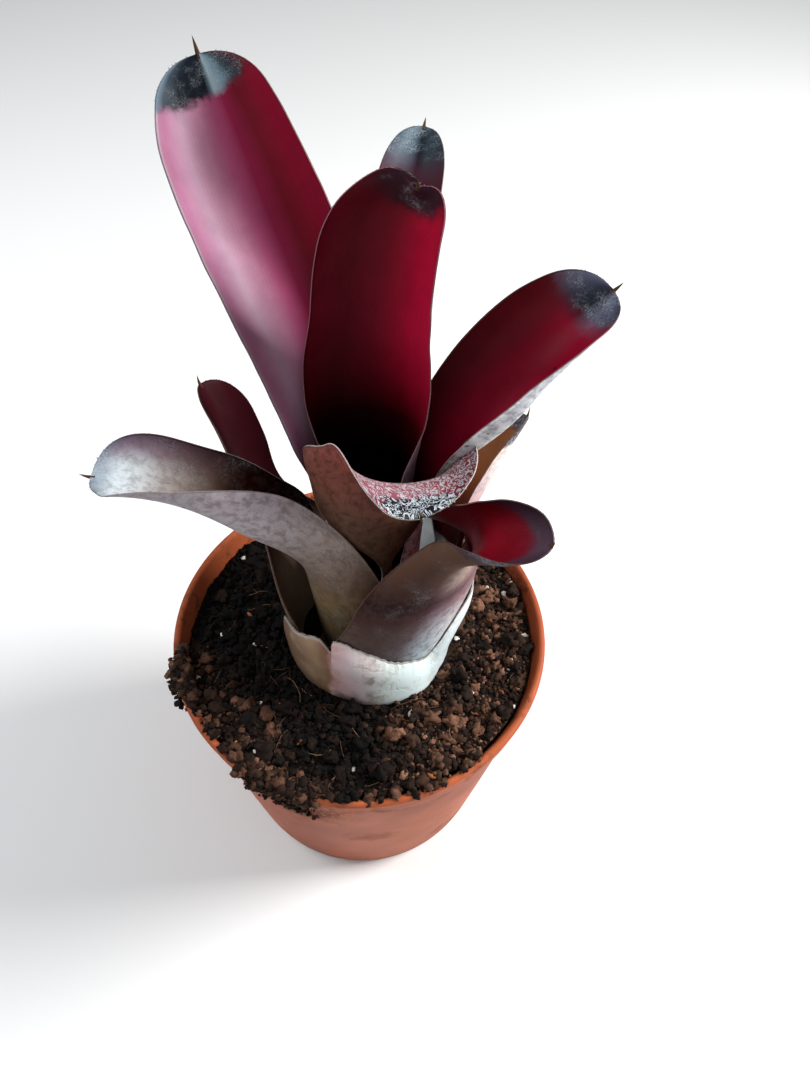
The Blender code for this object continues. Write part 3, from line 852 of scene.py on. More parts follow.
    def add_spine(self, skin: Skin, world: np.ndarray, normal: np.ndarray, strip: np.ndarray) -> None:
        """Curved spine on the leaf's end.

        Args:
            skin: Mesh that it joins.
            world: Middle surface of the leaf.
            normal: Its inward normals, in the plant frame.
            strip: Places on the leaf laid flat.
        """
        middle = world.shape[1] // 2
        facing = (normal @ plant_matrix()[:3, :3].T)[-1, middle]
        axis = unit(world[-1, middle] - world[-4, middle])
        side = unit(np.cross(axis, facing))
        share = np.linspace(0.0, 1.0, self.spine_rings)
        bent = self.spine_bend * self.shape.spine * share**2
        centre = (world[-1, middle] + axis * (self.shape.spine * share - self.spine_sunk)[:, None]
                  + facing * bent[:, None])
        radius = self.tip_half_width * ((1.0 - share) ** 0.8 * 1.05 + 0.06)
        angle = np.linspace(0.0, 2 * math.pi, self.spine_sides, endpoint=False)[None, :, None]
        ring = np.cos(angle) * side + self.spine_flatness * np.sin(angle) * facing
        tube = centre[:, None] + radius[:, None, None] * ring
        skin.add_tube(tube, np.array([centre[0], centre[-1] + axis * 0.0002]), along=BEYOND_TIP,
                      across=0.0, inner=0.5, strip=strip[-1, middle])

    def face_colour(self, graph: Graph, face: Face, along: object, across: object, place: object,
                    end: object) -> tuple[object, object]:
        """Colour and scurf of one face.

        Args:
            graph: Material that gets the nodes.
            face: Colouring of the face.
            along: Fraction of the length.
            across: Place across from 0 to 1.
            place: Place on the leaf laid flat.
            end: Mask of the leaf's end.

        Returns:
            Colour and mask of the silver scales.
        """
        colour = graph.mix(1.0, graph.ramp(along, face.along), graph.ramp(across, face.across), "MULTIPLY")
        if face.mottled:
            patch = graph.step(graph.noise(place, 380.0, 5.0, 0.7, 0.3), 0.42, 0.64)
            colour = graph.mix(graph.math("MULTIPLY", patch, face.mottled), colour, tone(face.mottle))
        if face.spots:
            spots = graph.group(self.effects.trees[Effect.SPOTS], Place=place, Spacing=0.0042,
                                Amount=face.spots).outputs["Mask"]
            colour = graph.mix(graph.math("MULTIPLY", spots, 0.75), colour, tone("1d060c"))
        dark_end = graph.mix(1.0, tone(self.paint.tip), graph.ramp(across, self.paint.tip_across),
                             "MULTIPLY")
        colour = graph.mix(end, colour, dark_end)
        cover = graph.between(end, face.silver, face.silver_at_tip)
        scurf = graph.group(self.effects.trees[Effect.SCURF], Place=place, Cover=cover,
                            Pitch=face.pitch, Crests=face.crests)
        strength = graph.math("MULTIPLY_ADD", face.crests, 0.3, graph.math("MULTIPLY_ADD", end, 0.25, 0.3))
        colour = graph.mix(graph.math("MULTIPLY", scurf.outputs["Mask"], strength), colour,
                           tone(self.paint.tip_silver))
        return colour, scurf.outputs["Mask"]

    def dress(self, piece: bpy.types.Object) -> None:
        """Give the leaf its finish."""
        made = Material(f"{self.shape.node}_finish", Specular_IOR_Level=self.paint.shine)
        graph = made.graph
        along = graph.read("along")
        across = graph.read("across")
        inner = graph.read("inner")
        place = graph.read_place("strip")
        spread = graph.math("MULTIPLY_ADD", across, 0.5, 0.5)
        end = graph.group(self.effects.trees[Effect.ZONE], Place=place, Along=along, Across=across,
                          Start=self.paint.tip_from, Blur=self.paint.tip_blur, Bow=self.paint.tip_bow,
                          Tilt=self.paint.tip_tilt, Ragged=0.04).outputs["Mask"]
        veins = graph.group(self.effects.trees[Effect.VEINS], Place=place, Spacing=0.0009, Wander=0.7)
        blotch = graph.noise(place, 120.0, 4.0, 0.6)
        faces = [self.face_colour(graph, face, along, spread, place, end)
                 for face in (self.paint.outer, self.paint.inner)]
        colour = graph.mix(inner, faces[0][0], faces[1][0])
        shade = graph.math("MULTIPLY_ADD", blotch, 0.5, 0.75)
        shade = graph.math("MULTIPLY", shade, graph.math("MULTIPLY_ADD", veins.outputs["Line"], 0.03, 0.97))
        shaded = graph.node("VectorMath", {0: colour, "Scale": shade}, operation="SCALE").outputs[0]
        rim = graph.step(graph.math("ABSOLUTE", across), 0.985, 1.0)
        shaded = graph.mix(graph.math("MULTIPLY", rim, 0.5), shaded, tone(self.paint.margin))
        thorn = graph.step(along, 1.01, 1.04)
        shaded = graph.mix(thorn, shaded, tone("4a3226"))
        silver = graph.between(inner, faces[0][1], faces[1][1])
        rough = graph.between(inner, self.paint.outer.roughness, self.paint.inner.roughness)
        made.feed("Base Color", shaded)
        made.feed("Roughness", graph.math("MULTIPLY_ADD", silver, 0.22, rough, clamp=True))
        relief = graph.math("MULTIPLY_ADD", veins.outputs["Height"], 0.12, silver)
        relief = graph.math("MULTIPLY_ADD", blotch, 1.0, relief)
        made.bump(relief, 0.0001)
        made.put_on(piece)


# Outer face of the two leaves that are seen from inside only
GREY_BACK = Face(((0.0, "8a7464"), (0.4, "75606a"), (1.0, "7c7078")), silver=0.45, crests=0.4,
                 mottled=0.5, roughness=0.6)

LEAVES: tuple[tuple[LeafShape, LeafPaint], ...] = (
    (LeafShape("leaf_left_back_short", layer=0, azimuth=159, length=0.089, flare=15,
               leans=(27, 17.5, 28.5), sheath_end=0.33, neck_half_width=0.0109,
               blade_half_width=0.0111, neck_channel=0.0107, tip_channel=0.0123, wrap=71, drift=1,
               tip_drift=2, twist=3.5, neck_at=0.53, rounding_from=0.83),
     LeafPaint(inner=Face(((0.0, "8a7462"), (0.3, "74604f"), (0.42, "40221b"), (0.52, "20070a"),
                           (0.85, "2c0910"), (1.0, "340e14")),
                          ((0.0, "ffffff"), (0.6, "ffffff"), (1.0, "c8a8b0")), silver=0.05,
                          silver_at_tip=0.1, roughness=0.4),
               outer=Face(((0.0, "7c6858"), (0.4, "6a5648"), (0.8, "5a463f"), (1.0, "4a3438")),
                          silver=0.3, mottle="4a362c", mottled=0.5, roughness=0.58),
               tip="2c0c14", tip_from=1.2, shine=0.02)),
    (LeafShape("leaf_right_front_short", layer=1, azimuth=-40, length=0.107, flare=17,
               leans=(14, 46, 47.5), sheath_end=0.38, sheath_skew=-0.13, neck_half_width=0.0172,
               blade_half_width=0.0154, neck_channel=0.0069, tip_channel=0.0075, wrap=91,
               drift=-11.5, tip_drift=-5.5, twist=33, neck_at=0.69, widest_at=0.82,
               rounding_from=0.78, flaps=(Flap(1, 0.52, 0.12, 0.006), Flap(1, 0.43, 0.07, 0.006),
                                          Flap(-1, 0.2, 0.15, -0.013)),
               nudges=(Nudge(0.62, -1.0, 0.12, 0.6, inward=-0.003),
                       Nudge(0.52, 1.0, 0.13, 0.35, across=-0.005, inward=0.005))),
     LeafPaint(inner=Face(((0.0, "4a0810"), (0.4, "8c0d20"), (0.7, "8a0d20"), (0.85, "76101f"),
                           (0.95, "6a1424"), (1.0, "581420")),
                          ((0.0, "c8b0b8"), (0.12, "ffffff"), (0.75, "ffffff"), (0.93, "d0b8c0"),
                           (1.0, "987c88")),
                          silver=0.02, silver_at_tip=0.2, roughness=0.36),
               outer=Face(((0.0, "d8e2e6"), (0.14, "c8d0d4"), (0.28, "b8b2b6"), (0.37, "8a6c70"),
                           (0.43, "5c3c44"), (0.5, "9c8078"), (0.7, "b89c84"), (1.0, "9a8688")),
                          ((0.0, "8a7468"), (0.2, "78645f"), (0.32, "8c7c7e"), (0.41, "d8e2e8"),
                           (0.52, "ffffff"), (1.0, "e0e4e6")),
                          silver=0.3, mottle="4a3a38", mottled=0.5, roughness=0.56, spots=0.08),
               tip="54404e", tip_from=0.93, tip_blur=0.035, tip_bow=-0.14,
               tip_across=((0.0, "b0a0ac"), (0.45, "ffffff"), (1.0, "907884")))),
    (LeafShape("leaf_right_back_short", layer=2, azimuth=20, length=0.0805, flare=13,
               leans=(15, 29.5, 30.5), sheath_end=0.32, neck_half_width=0.0112,
               blade_half_width=0.0120, neck_channel=0.0093, tip_channel=0.0141, wrap=56, drift=0.5,
               tip_drift=3, twist=-20, neck_at=0.52),
     # Painted light: the inner face's foot is painted near white like a lit patch, though it faces away from
     # the light; the near-black red just above it is partly painted shade.
     LeafPaint(inner=Face(((0.0, "e8eeee"), (0.35, "e8eeee"), (0.4, "34090c"), (0.5, "3a0c0c"),
                           (0.6, "5a2a1a"), (0.72, "7e4828"), (1.0, "86542f")), silver=0.03),
               outer=Face(((0.0, "e4ecec"), (0.34, "d8dede"), (0.44, "b08a94"), (0.55, "a05a72"),
                           (0.68, "c3a3a6"), (0.8, "d8ccc8"), (1.0, "cfc4be")), silver=0.45,
                          mottle="8a6a6a", mottled=0.5, roughness=0.55),
               tip="3c2a38", tip_from=0.93, tip_bow=-0.05)),
    (LeafShape("leaf_back_narrow", layer=3, azimuth=86, length=0.162, flare=11,
               leans=(28.5, 47.5, 58), sheath_end=0.22, neck_half_width=0.0095,
               blade_half_width=0.0116, neck_channel=0.0129, tip_channel=0.0145, wrap=72, drift=1,
               tip_drift=-7, twist=2.5, neck_at=0.45, rounding_from=0.81),
     # Painted light: the inner face's foot is painted pale grey-white like a lit patch, though it stands in
     # the tube's shade.
     LeafPaint(inner=Face(((0.0, "d8dede"), (0.2, "d8dede"), (0.27, "2c1210"), (0.5, "3a0a16"),
                           (0.8, "3c0c1a"), (0.9, "43202c"), (1.0, "5a4a58")), silver=0.03,
                          silver_at_tip=0.4, crests=0.0),
               outer=Face(((0.0, "8a7a70"), (0.5, "77666a"), (1.0, "7a7f86")), silver=0.5,
                          mottled=0.5, roughness=0.6), tip="5a6872", tip_from=0.9, tip_blur=0.05,
               # The pale stripes across the tip are partly silver scurf and partly painted highlights.
               tip_across=((0.0, "6a7078"), (0.32, "7d868e"), (0.47, "2f3840"), (0.58, "a8b4bc"),
                           (0.8, "ffffff"), (1.0, "a0a8b0")))),
    (LeafShape("leaf_left_spreading", layer=4, azimuth=219, length=0.104, flare=9.5,
               leans=(38, 51, 88), sheath_end=0.30, neck_half_width=0.0209, blade_half_width=0.0161,
               neck_channel=0.0090, tip_channel=0.0129, wrap=87, drift=-17.5, tip_drift=-22,
               twist=-20.5, neck_at=0.65, widest_at=0.80, rounding_from=0.82,
               flaps=(Flap(1, 0.965, 0.03, -0.0026),)),
     # The pale peak of the inner face just short of the tip and the white band across the tip are partly
     # silver scurf and partly a painted highlight.
     LeafPaint(inner=Face(((0.0, "2a0a08"), (0.5, "451209"), (0.62, "4c1c12"), (0.7, "745c4e"),
                           (0.78, "a0938c"), (0.84, "b2aeac"), (0.91, "d8e0e4"), (1.0, "d0dae0")),
                          ((0.0, "705068"), (0.14, "b49aa8"), (0.32, "ffffff"), (1.0, "ffffff")),
                          mottle="5c4a44", mottled=0.4, silver=0.38, silver_at_tip=0.7, crests=0.0,
                          roughness=0.34, spots=0.08),
               outer=Face(((0.0, "7c6653"), (0.16, "7e6844"), (0.24, "86704c"), (0.34, "7a6250"),
                           (0.46, "93837c"), (0.6, "b8aeb4"), (0.8, "b0a4aa"), (1.0, "a09ea8")),
                          silver=0.38, crests=0.1, mottle="5a4238", mottled=0.5, roughness=0.55,
                          spots=0.08),
               tip="a4b0bc", tip_from=0.965, tip_blur=0.04,
               tip_across=((0.0, "c0b8c8"), (0.25, "ffffff"), (0.5, "e8f0f4"), (0.75, "a8b0b8"),
                           (1.0, "78848e")))),
    (LeafShape("leaf_front_recurved", layer=5, azimuth=291, length=0.088, flare=6, blade_skew=-0.12,
               leans=(5.5, 22, 62, 108), lean_at=(0.55, 0.72, 0.88, 1.0), sheath_end=0.18,
               neck_half_width=0.0084, blade_half_width=0.0225, neck_channel=0.0162,
               tip_channel=0.0217, wrap=78, drift=-5.5, tip_drift=14, twist=-12, neck_at=0.555,
               widest_at=0.64, rounding_from=0.845, spine=0.0025, wave=0.0006,
               flaps=(Flap(-1, 0.815, 0.08, -0.0072), Flap(1, 0.84, 0.10, 0.003)),
               nudges=(Nudge(0.74, -1.0, 0.07, 0.6, across=-0.002),
                       Nudge(0.84, 1.0, 0.10, 0.6, across=0.001),
                       Nudge(0.83, 0.0, 0.09, 0.75, inward=0.004),
                       Nudge(1.0, 0.0, 0.05, 1.0, along=-0.0015))),
     LeafPaint(inner=Face(((0.0, "1c0608"), (0.55, "32070e"), (0.7, "5c3428"), (0.78, "8a6a54"),
                           (0.85, "865858"), (0.92, "824854"), (1.0, "66323e")),
                          ((0.0, "ffe8f0"), (0.5, "ffffff"), (0.8, "e0b0a8"), (1.0, "c07878")),
                          silver=0.75, silver_at_tip=0.75, crests=1.0, roughness=0.45, pitch=0.001),
               outer=Face(((0.0, "564236"), (0.45, "584232"), (0.66, "604436"), (0.76, "78463c"),
                           (0.86, "8a4840"), (1.0, "803f3a")), silver=0.1, mottle="381c18",
                          mottled=0.55, roughness=0.58, spots=0.1),
               tip="17161b", tip_from=0.93, tip_blur=0.012, tip_bow=0.06, margin="e0d8d0")),
    (LeafShape("leaf_right_long", layer=6, azimuth=20, length=0.1335, flare=2.5,
               leans=(9.5, 38, 58), sheath_end=0.38, neck_half_width=0.0115,
               blade_half_width=0.0165, neck_channel=0.0129, tip_channel=0.0122, wrap=78, drift=-13,
               tip_drift=10, twist=30, neck_at=0.495, widest_at=0.78,
               nudges=(Nudge(0.64, -0.6, 0.17, 0.38, across=-0.0046, inward=-0.0015),
                       Nudge(0.66, -1.0, 0.15, 0.25, across=0.0016, inward=0.0006))),
     LeafPaint(inner=Face(((0.0, "200508"), (0.35, "a07078"), (0.5, "ffffff"), (1.0, "ffffff")),
                          # The inner crimson is the leaf's own red, brightest towards the clockwise side as
                          # a painted glow of light shining through it.
                          ((0.0, "980f30"), (0.3, "940e2c"), (0.5, "820c26"), (0.68, "640a1c"),
                           (0.85, "4c0812"), (1.0, "400a10")),
                          silver=0.02, silver_at_tip=0.42, crests=0.1, roughness=0.38, spots=0.14),
               # The outer face's near-white foot is partly silver scurf and partly a painted highlight of
               # the window light.
               outer=Face(((0.0, "f0f4f4"), (0.14, "f0f4f4"), (0.3, "eef2f2"), (0.6, "d6d8dc"),
                           (1.0, "b0b0bc")), silver=0.3, crests=0.8, mottle="5c5864", mottled=0.6,
                          roughness=0.55, spots=0.25, pitch=0.0012),
               tip="55566a", tip_from=0.915, tip_blur=0.03, tip_bow=0.03,
               # The white stripes across the dark tip are partly silver scurf and partly painted highlights.
               tip_across=((0.0, "8a8a96"), (0.35, "ffffff"), (0.52, "50505c"), (0.7, "90909a"),
                           (1.0, "ffffff")))),
    (LeafShape("leaf_left_back_long", layer=7, azimuth=125, length=0.171, flare=2,
               leans=(8.5, 33.5, 30), sheath_end=0.22, neck_half_width=0.0166,
               blade_half_width=0.0219, neck_channel=0.0213, tip_channel=0.0159, wrap=80, drift=11.5,
               tip_drift=-10, twist=-25.5, neck_at=0.415, spine=0.005),
     LeafPaint(inner=Face(((0.0, "1c0d12"), (0.25, "6a5460"), (0.38, "bca4ae"), (0.48, "ffffff"),
                           (1.0, "ffffff")),
                          # The mauve towards the anticlockwise side and the lighter middle are partly the
                          # leaf's own colour and partly a painted sheen of the window light.
                          ((0.0, "7a0f28"), (0.15, "740c23"), (0.3, "66101f"), (0.42, "821c3e"),
                           (0.52, "a84e72"), (0.62, "b27690"), (0.76, "a88498"), (0.92, "96607c"),
                           (0.97, "8e6478"), (1.0, "a692a2")),
                          silver=0.02, silver_at_tip=0.36, crests=0.0, roughness=0.36, pitch=0.0004),
               outer=GREY_BACK,
               tip="8ea0a8", tip_from=0.94, tip_blur=0.01, tip_bow=0.008, tip_tilt=0.018,
               # The bright silver stripe beside the midrib on the dark tip is partly silver scurf and partly
               # a painted sheen.
               tip_across=((0.0, "a02838"), (0.14, "4a3038"), (0.26, "5c686e"), (0.36, "c0d0d8"),
                           (0.46, "ffffff"), (0.49, "8a949a"), (0.52, "2a2a34"), (0.78, "2c2e38"),
                           (0.92, "5a5e68"), (1.0, "b0b8c4")))),
    (LeafShape("leaf_centre_back", layer=8, azimuth=78, length=0.1445, flare=2, leans=(-3, -3, -17),
               sheath_end=0.34, neck_half_width=0.0195, blade_half_width=0.0211,
               neck_channel=0.0208, tip_channel=0.0151, wrap=80, tip_drift=-10, twist=-15,
               neck_at=0.37, rounding_from=0.81, spine=0.003, hook=0.0032,
               nudges=(Nudge(1.0, 0.0, 0.05, 1.6, along=0.002, across=-0.004),
                       Nudge(0.965, 0.55, 0.05, 0.4, along=0.0018, across=-0.002))),
     # Painted shade: the inner face is near black low down in the tank. Its crimson is the leaf's own red,
     # made brighter towards the clockwise side as a painted glow of light shining through it.
     LeafPaint(inner=Face(((0.0, "050102"), (0.42, "10050a"), (0.52, "503c44"), (0.62, "c8b8bc"),
                           (0.72, "ffffff"), (0.9, "f0dce0"), (1.0, "d8b8c0")),
                          ((0.0, "941632"), (0.08, "a41434"), (0.3, "ac1134"), (0.45, "940e2c"),
                           (0.58, "760b23"), (0.75, "5a0a19"), (1.0, "600c1d")),
                          silver=0.02, silver_at_tip=0.3, crests=0.2, roughness=0.38),
               outer=GREY_BACK,
               tip="33151f", tip_from=0.93, tip_blur=0.018, tip_bow=0.05, margin="9a6a70")),
)


def sheath_face_radius(shape: LeafShape, height: float) -> float:
    """Radius of a sheath's outer face at a height above the tube's foot."""
    rise = height - shape.layer * LAYER_STEP_UP
    return shape.foot_radius + rise * math.tan(math.radians(shape.flare)) + SHEATH_HALF_THICKNESS


@dataclass
class OldSheath:
    """Torn stump of the oldest leaf, a pale collar round the foot of the tube."""

    foot_radius: float = 0.0238
    start: float = 200.0
    end: float = 352.0
    foot_depth: float = 0.0055
    crest: tuple = ((200.0, 0.0185), (229.0, 0.0235), (243.0, 0.027), (256.0, 0.0262), (268.0, 0.0224),
                    (281.0, 0.0175), (301.0, 0.013), (318.0, 0.0115), (332.0, 0.022), (345.0, 0.031),
                    (352.0, 0.031))
    tear_at: float = 245.5
    tear_width: float = 3.0
    tear_depth: float = 0.008
    bulge: float = 0.0028
    thickness: float = 0.0011
    space: float = 0.0004
    fray: float = 0.0006
    rows: int = 34
    columns: int = 260

    def top(self, angle: float) -> float:
        """Height of the torn upper edge above the tube's foot at an angle."""
        turns, heights = zip(*self.crest)
        height = float(curve_through(turns, heights, np.array([angle]))[0])
        tear = math.exp(-((angle - self.tear_at) / self.tear_width) ** 2)
        return height - self.tear_depth * tear

    def edge_radius(self, angle: float, height: float) -> float:
        """Radius of the upper edge, close round the two leaves inside it."""
        left, right = LEAVES[0][0], LEAVES[1][0]
        over_left = 1.0 - float(ease((angle - left.azimuth - left.wrap - 3.0) / 14.0))
        hug = sheath_face_radius(right, height)
        hug += (sheath_face_radius(left, height) - hug) * over_left
        return hug + self.space

    def build(self) -> bpy.types.Object:
        """Collar with a frayed upper edge and shallow ribs."""
        angles = np.linspace(self.start, self.end, self.columns + 1)
        shares = np.linspace(0.0, 1.0, self.rows + 1)
        middle = np.zeros((self.rows + 1, self.columns + 1, 3))
        facing = np.zeros_like(middle)
        for column, angle in enumerate(angles):
            top = self.top(angle)
            arc = Vector((angle * 0.42, 0.0, 3.3))
            frayed = self.fray * (noise.noise(arc) + 0.6 * noise.noise(arc * 3.1))
            turn = math.radians(angle)
            direction = np.array([math.cos(turn), math.sin(turn), 0.0])
            for row, share in enumerate(shares):
                height = share * (top + self.foot_depth) - self.foot_depth + frayed * share**8
                rise = float(ease(height / top))
                radius = self.foot_radius + (self.edge_radius(angle, top) - self.foot_radius) * rise
                radius = max(radius, self.edge_radius(angle, max(height, 0.0)))
                swell = self.bulge * (1.0 - 0.7 * float(ease((angle - 300.0) / 35.0)))
                swell *= math.sin(math.pi * share**0.6)
                pucker = 0.0005 * noise.noise(Vector((angle * 0.06, height * 110, 1.0)))
                middle[row, column] = direction * (radius + swell + pucker * share)
                middle[row, column, 2] = height
                facing[row, column] = -direction
        half = self.thickness / 2 * (1.0 - 0.65 * shares**3)
        skin = Skin("old_sheath_skin")
        rows, columns = middle.shape[:2]
        along = np.broadcast_to(shares[:, None], (rows, columns))
        around = np.broadcast_to(np.linspace(0.0, 1.0, columns)[None, :], (rows, columns))
        strip = np.stack([around * math.radians(self.end - self.start) * self.foot_radius,
                          middle[..., 2], np.zeros_like(around)], axis=-1)
        for inner, side in ((1.0, 1.0), (0.0, -1.0)):
            shift = facing * half[:, None, None] * side
            skin.add(into_world(middle + shift), grid_faces(rows, columns, flip=side < 0), along=along,
                     around=around, inner=inner, strip=strip)
        loop = grid_border(rows, columns)
        following = np.roll(loop, -1)
        skin.corners.append(np.stack([loop, loop + rows * columns, following + rows * columns, following],
                                     axis=-1))
        return skin.build()

    def dress(self, piece: bpy.types.Object) -> None:
        """Tan to lilac and bluish white, with brown streaks, dry specks and painted shade round the foot."""
        made = Material("old_sheath_finish", Specular_IOR_Level=0.5)
        graph = made.graph
        along = graph.read("along")
        around = graph.read("around")
        inner = graph.read("inner")
        place = graph.read_place("strip")
        wander = graph.math("MULTIPLY_ADD", graph.noise(place, 90.0, 3.0), 0.16, around)
        base = graph.ramp(graph.math("SUBTRACT", wander, 0.08), (
            (0.0, "6a5040"), (0.15, "8a6e5a"), (0.24, "a08468"), (0.29, "96705a"), (0.32, "cfa4a2"),
            (0.38, "dcc0c4"), (0.45, "e0d6d6"), (0.52, "dce6e4"), (0.62, "d4e4e4"), (0.78, "cddcdf"),
            (0.9, "dce8ec"), (1.0, "c8d6dc")))
        stain = graph.step(graph.noise(place, 170.0, 4.0, 0.65, 0.6), 0.5, 0.72)
        colour = graph.mix(graph.math("MULTIPLY", stain, 0.4), base, tone("a98e78"))
        # Painted shade: the foot is darkened towards dark brown, more on the left side, which faces away
        # from the light.
        foot = graph.step(graph.math("ADD", along, graph.math("MULTIPLY", graph.noise(place, 300.0), 0.25)),
                          0.5, 0.2)
        shaded_side = graph.math("MULTIPLY_ADD", graph.step(around, 0.56, 0.36), 0.7, 0.12)
        colour = graph.mix(graph.math("MULTIPLY", foot, shaded_side), colour, tone("4a3628"))
        torn = graph.step(along, 0.955, 1.0)
        colour = graph.mix(graph.math("MULTIPLY", torn, 0.7), colour, tone("ece4df"))
        near_tear = graph.step(graph.math("ABSOLUTE", graph.math("SUBTRACT", wander, 0.56)), 0.05, 0.01)
        blot = graph.math("MULTIPLY", near_tear, graph.step(graph.noise(place, 240.0, 3.0, 0.6), 0.42, 0.6))
        colour = graph.mix(graph.math("MULTIPLY", blot, 0.6), colour, tone("7c6a60"))
        colour = graph.mix(graph.math("MULTIPLY", inner, 0.85), colour, tone("3c2820"))
        made.feed("Base Color", colour)
        made.feed("Roughness", graph.math("MULTIPLY_ADD", stain, 0.25, 0.33))
        made.bump(stain, 0.00012)
        made.put_on(piece)


@dataclass(frozen=True)
class PotSizes:
    """Driving dimensions of the pot, as on the solid."""

    height: float = 0.095
    rim_radius: float = 0.060
    neck_radius: float = 0.0572
    base_radius: float = 0.046
    collar_depth: float = 0.0105
    wall: float = 0.0018
    floor: float = 0.0025
    drain_holes: int = 5
    drain_radius: float = 0.004
    drain_circle: float = 0.027
    drain_turn: float = 20.0
    foot_recess: float = 0.0006
    foot_ring: float = 0.0068
    foot_bend: float = 0.0014
    collar_bend: float = 0.0009
    lip_bend: float = 0.0013
    wall_bow: float = 0.00022

    def inner_radius(self, height: float) -> float:
        """Radius of the inner wall at a height."""
        share = height / (self.height - self.collar_depth)
        return self.base_radius + (self.neck_radius - self.base_radius) * share - self.wall


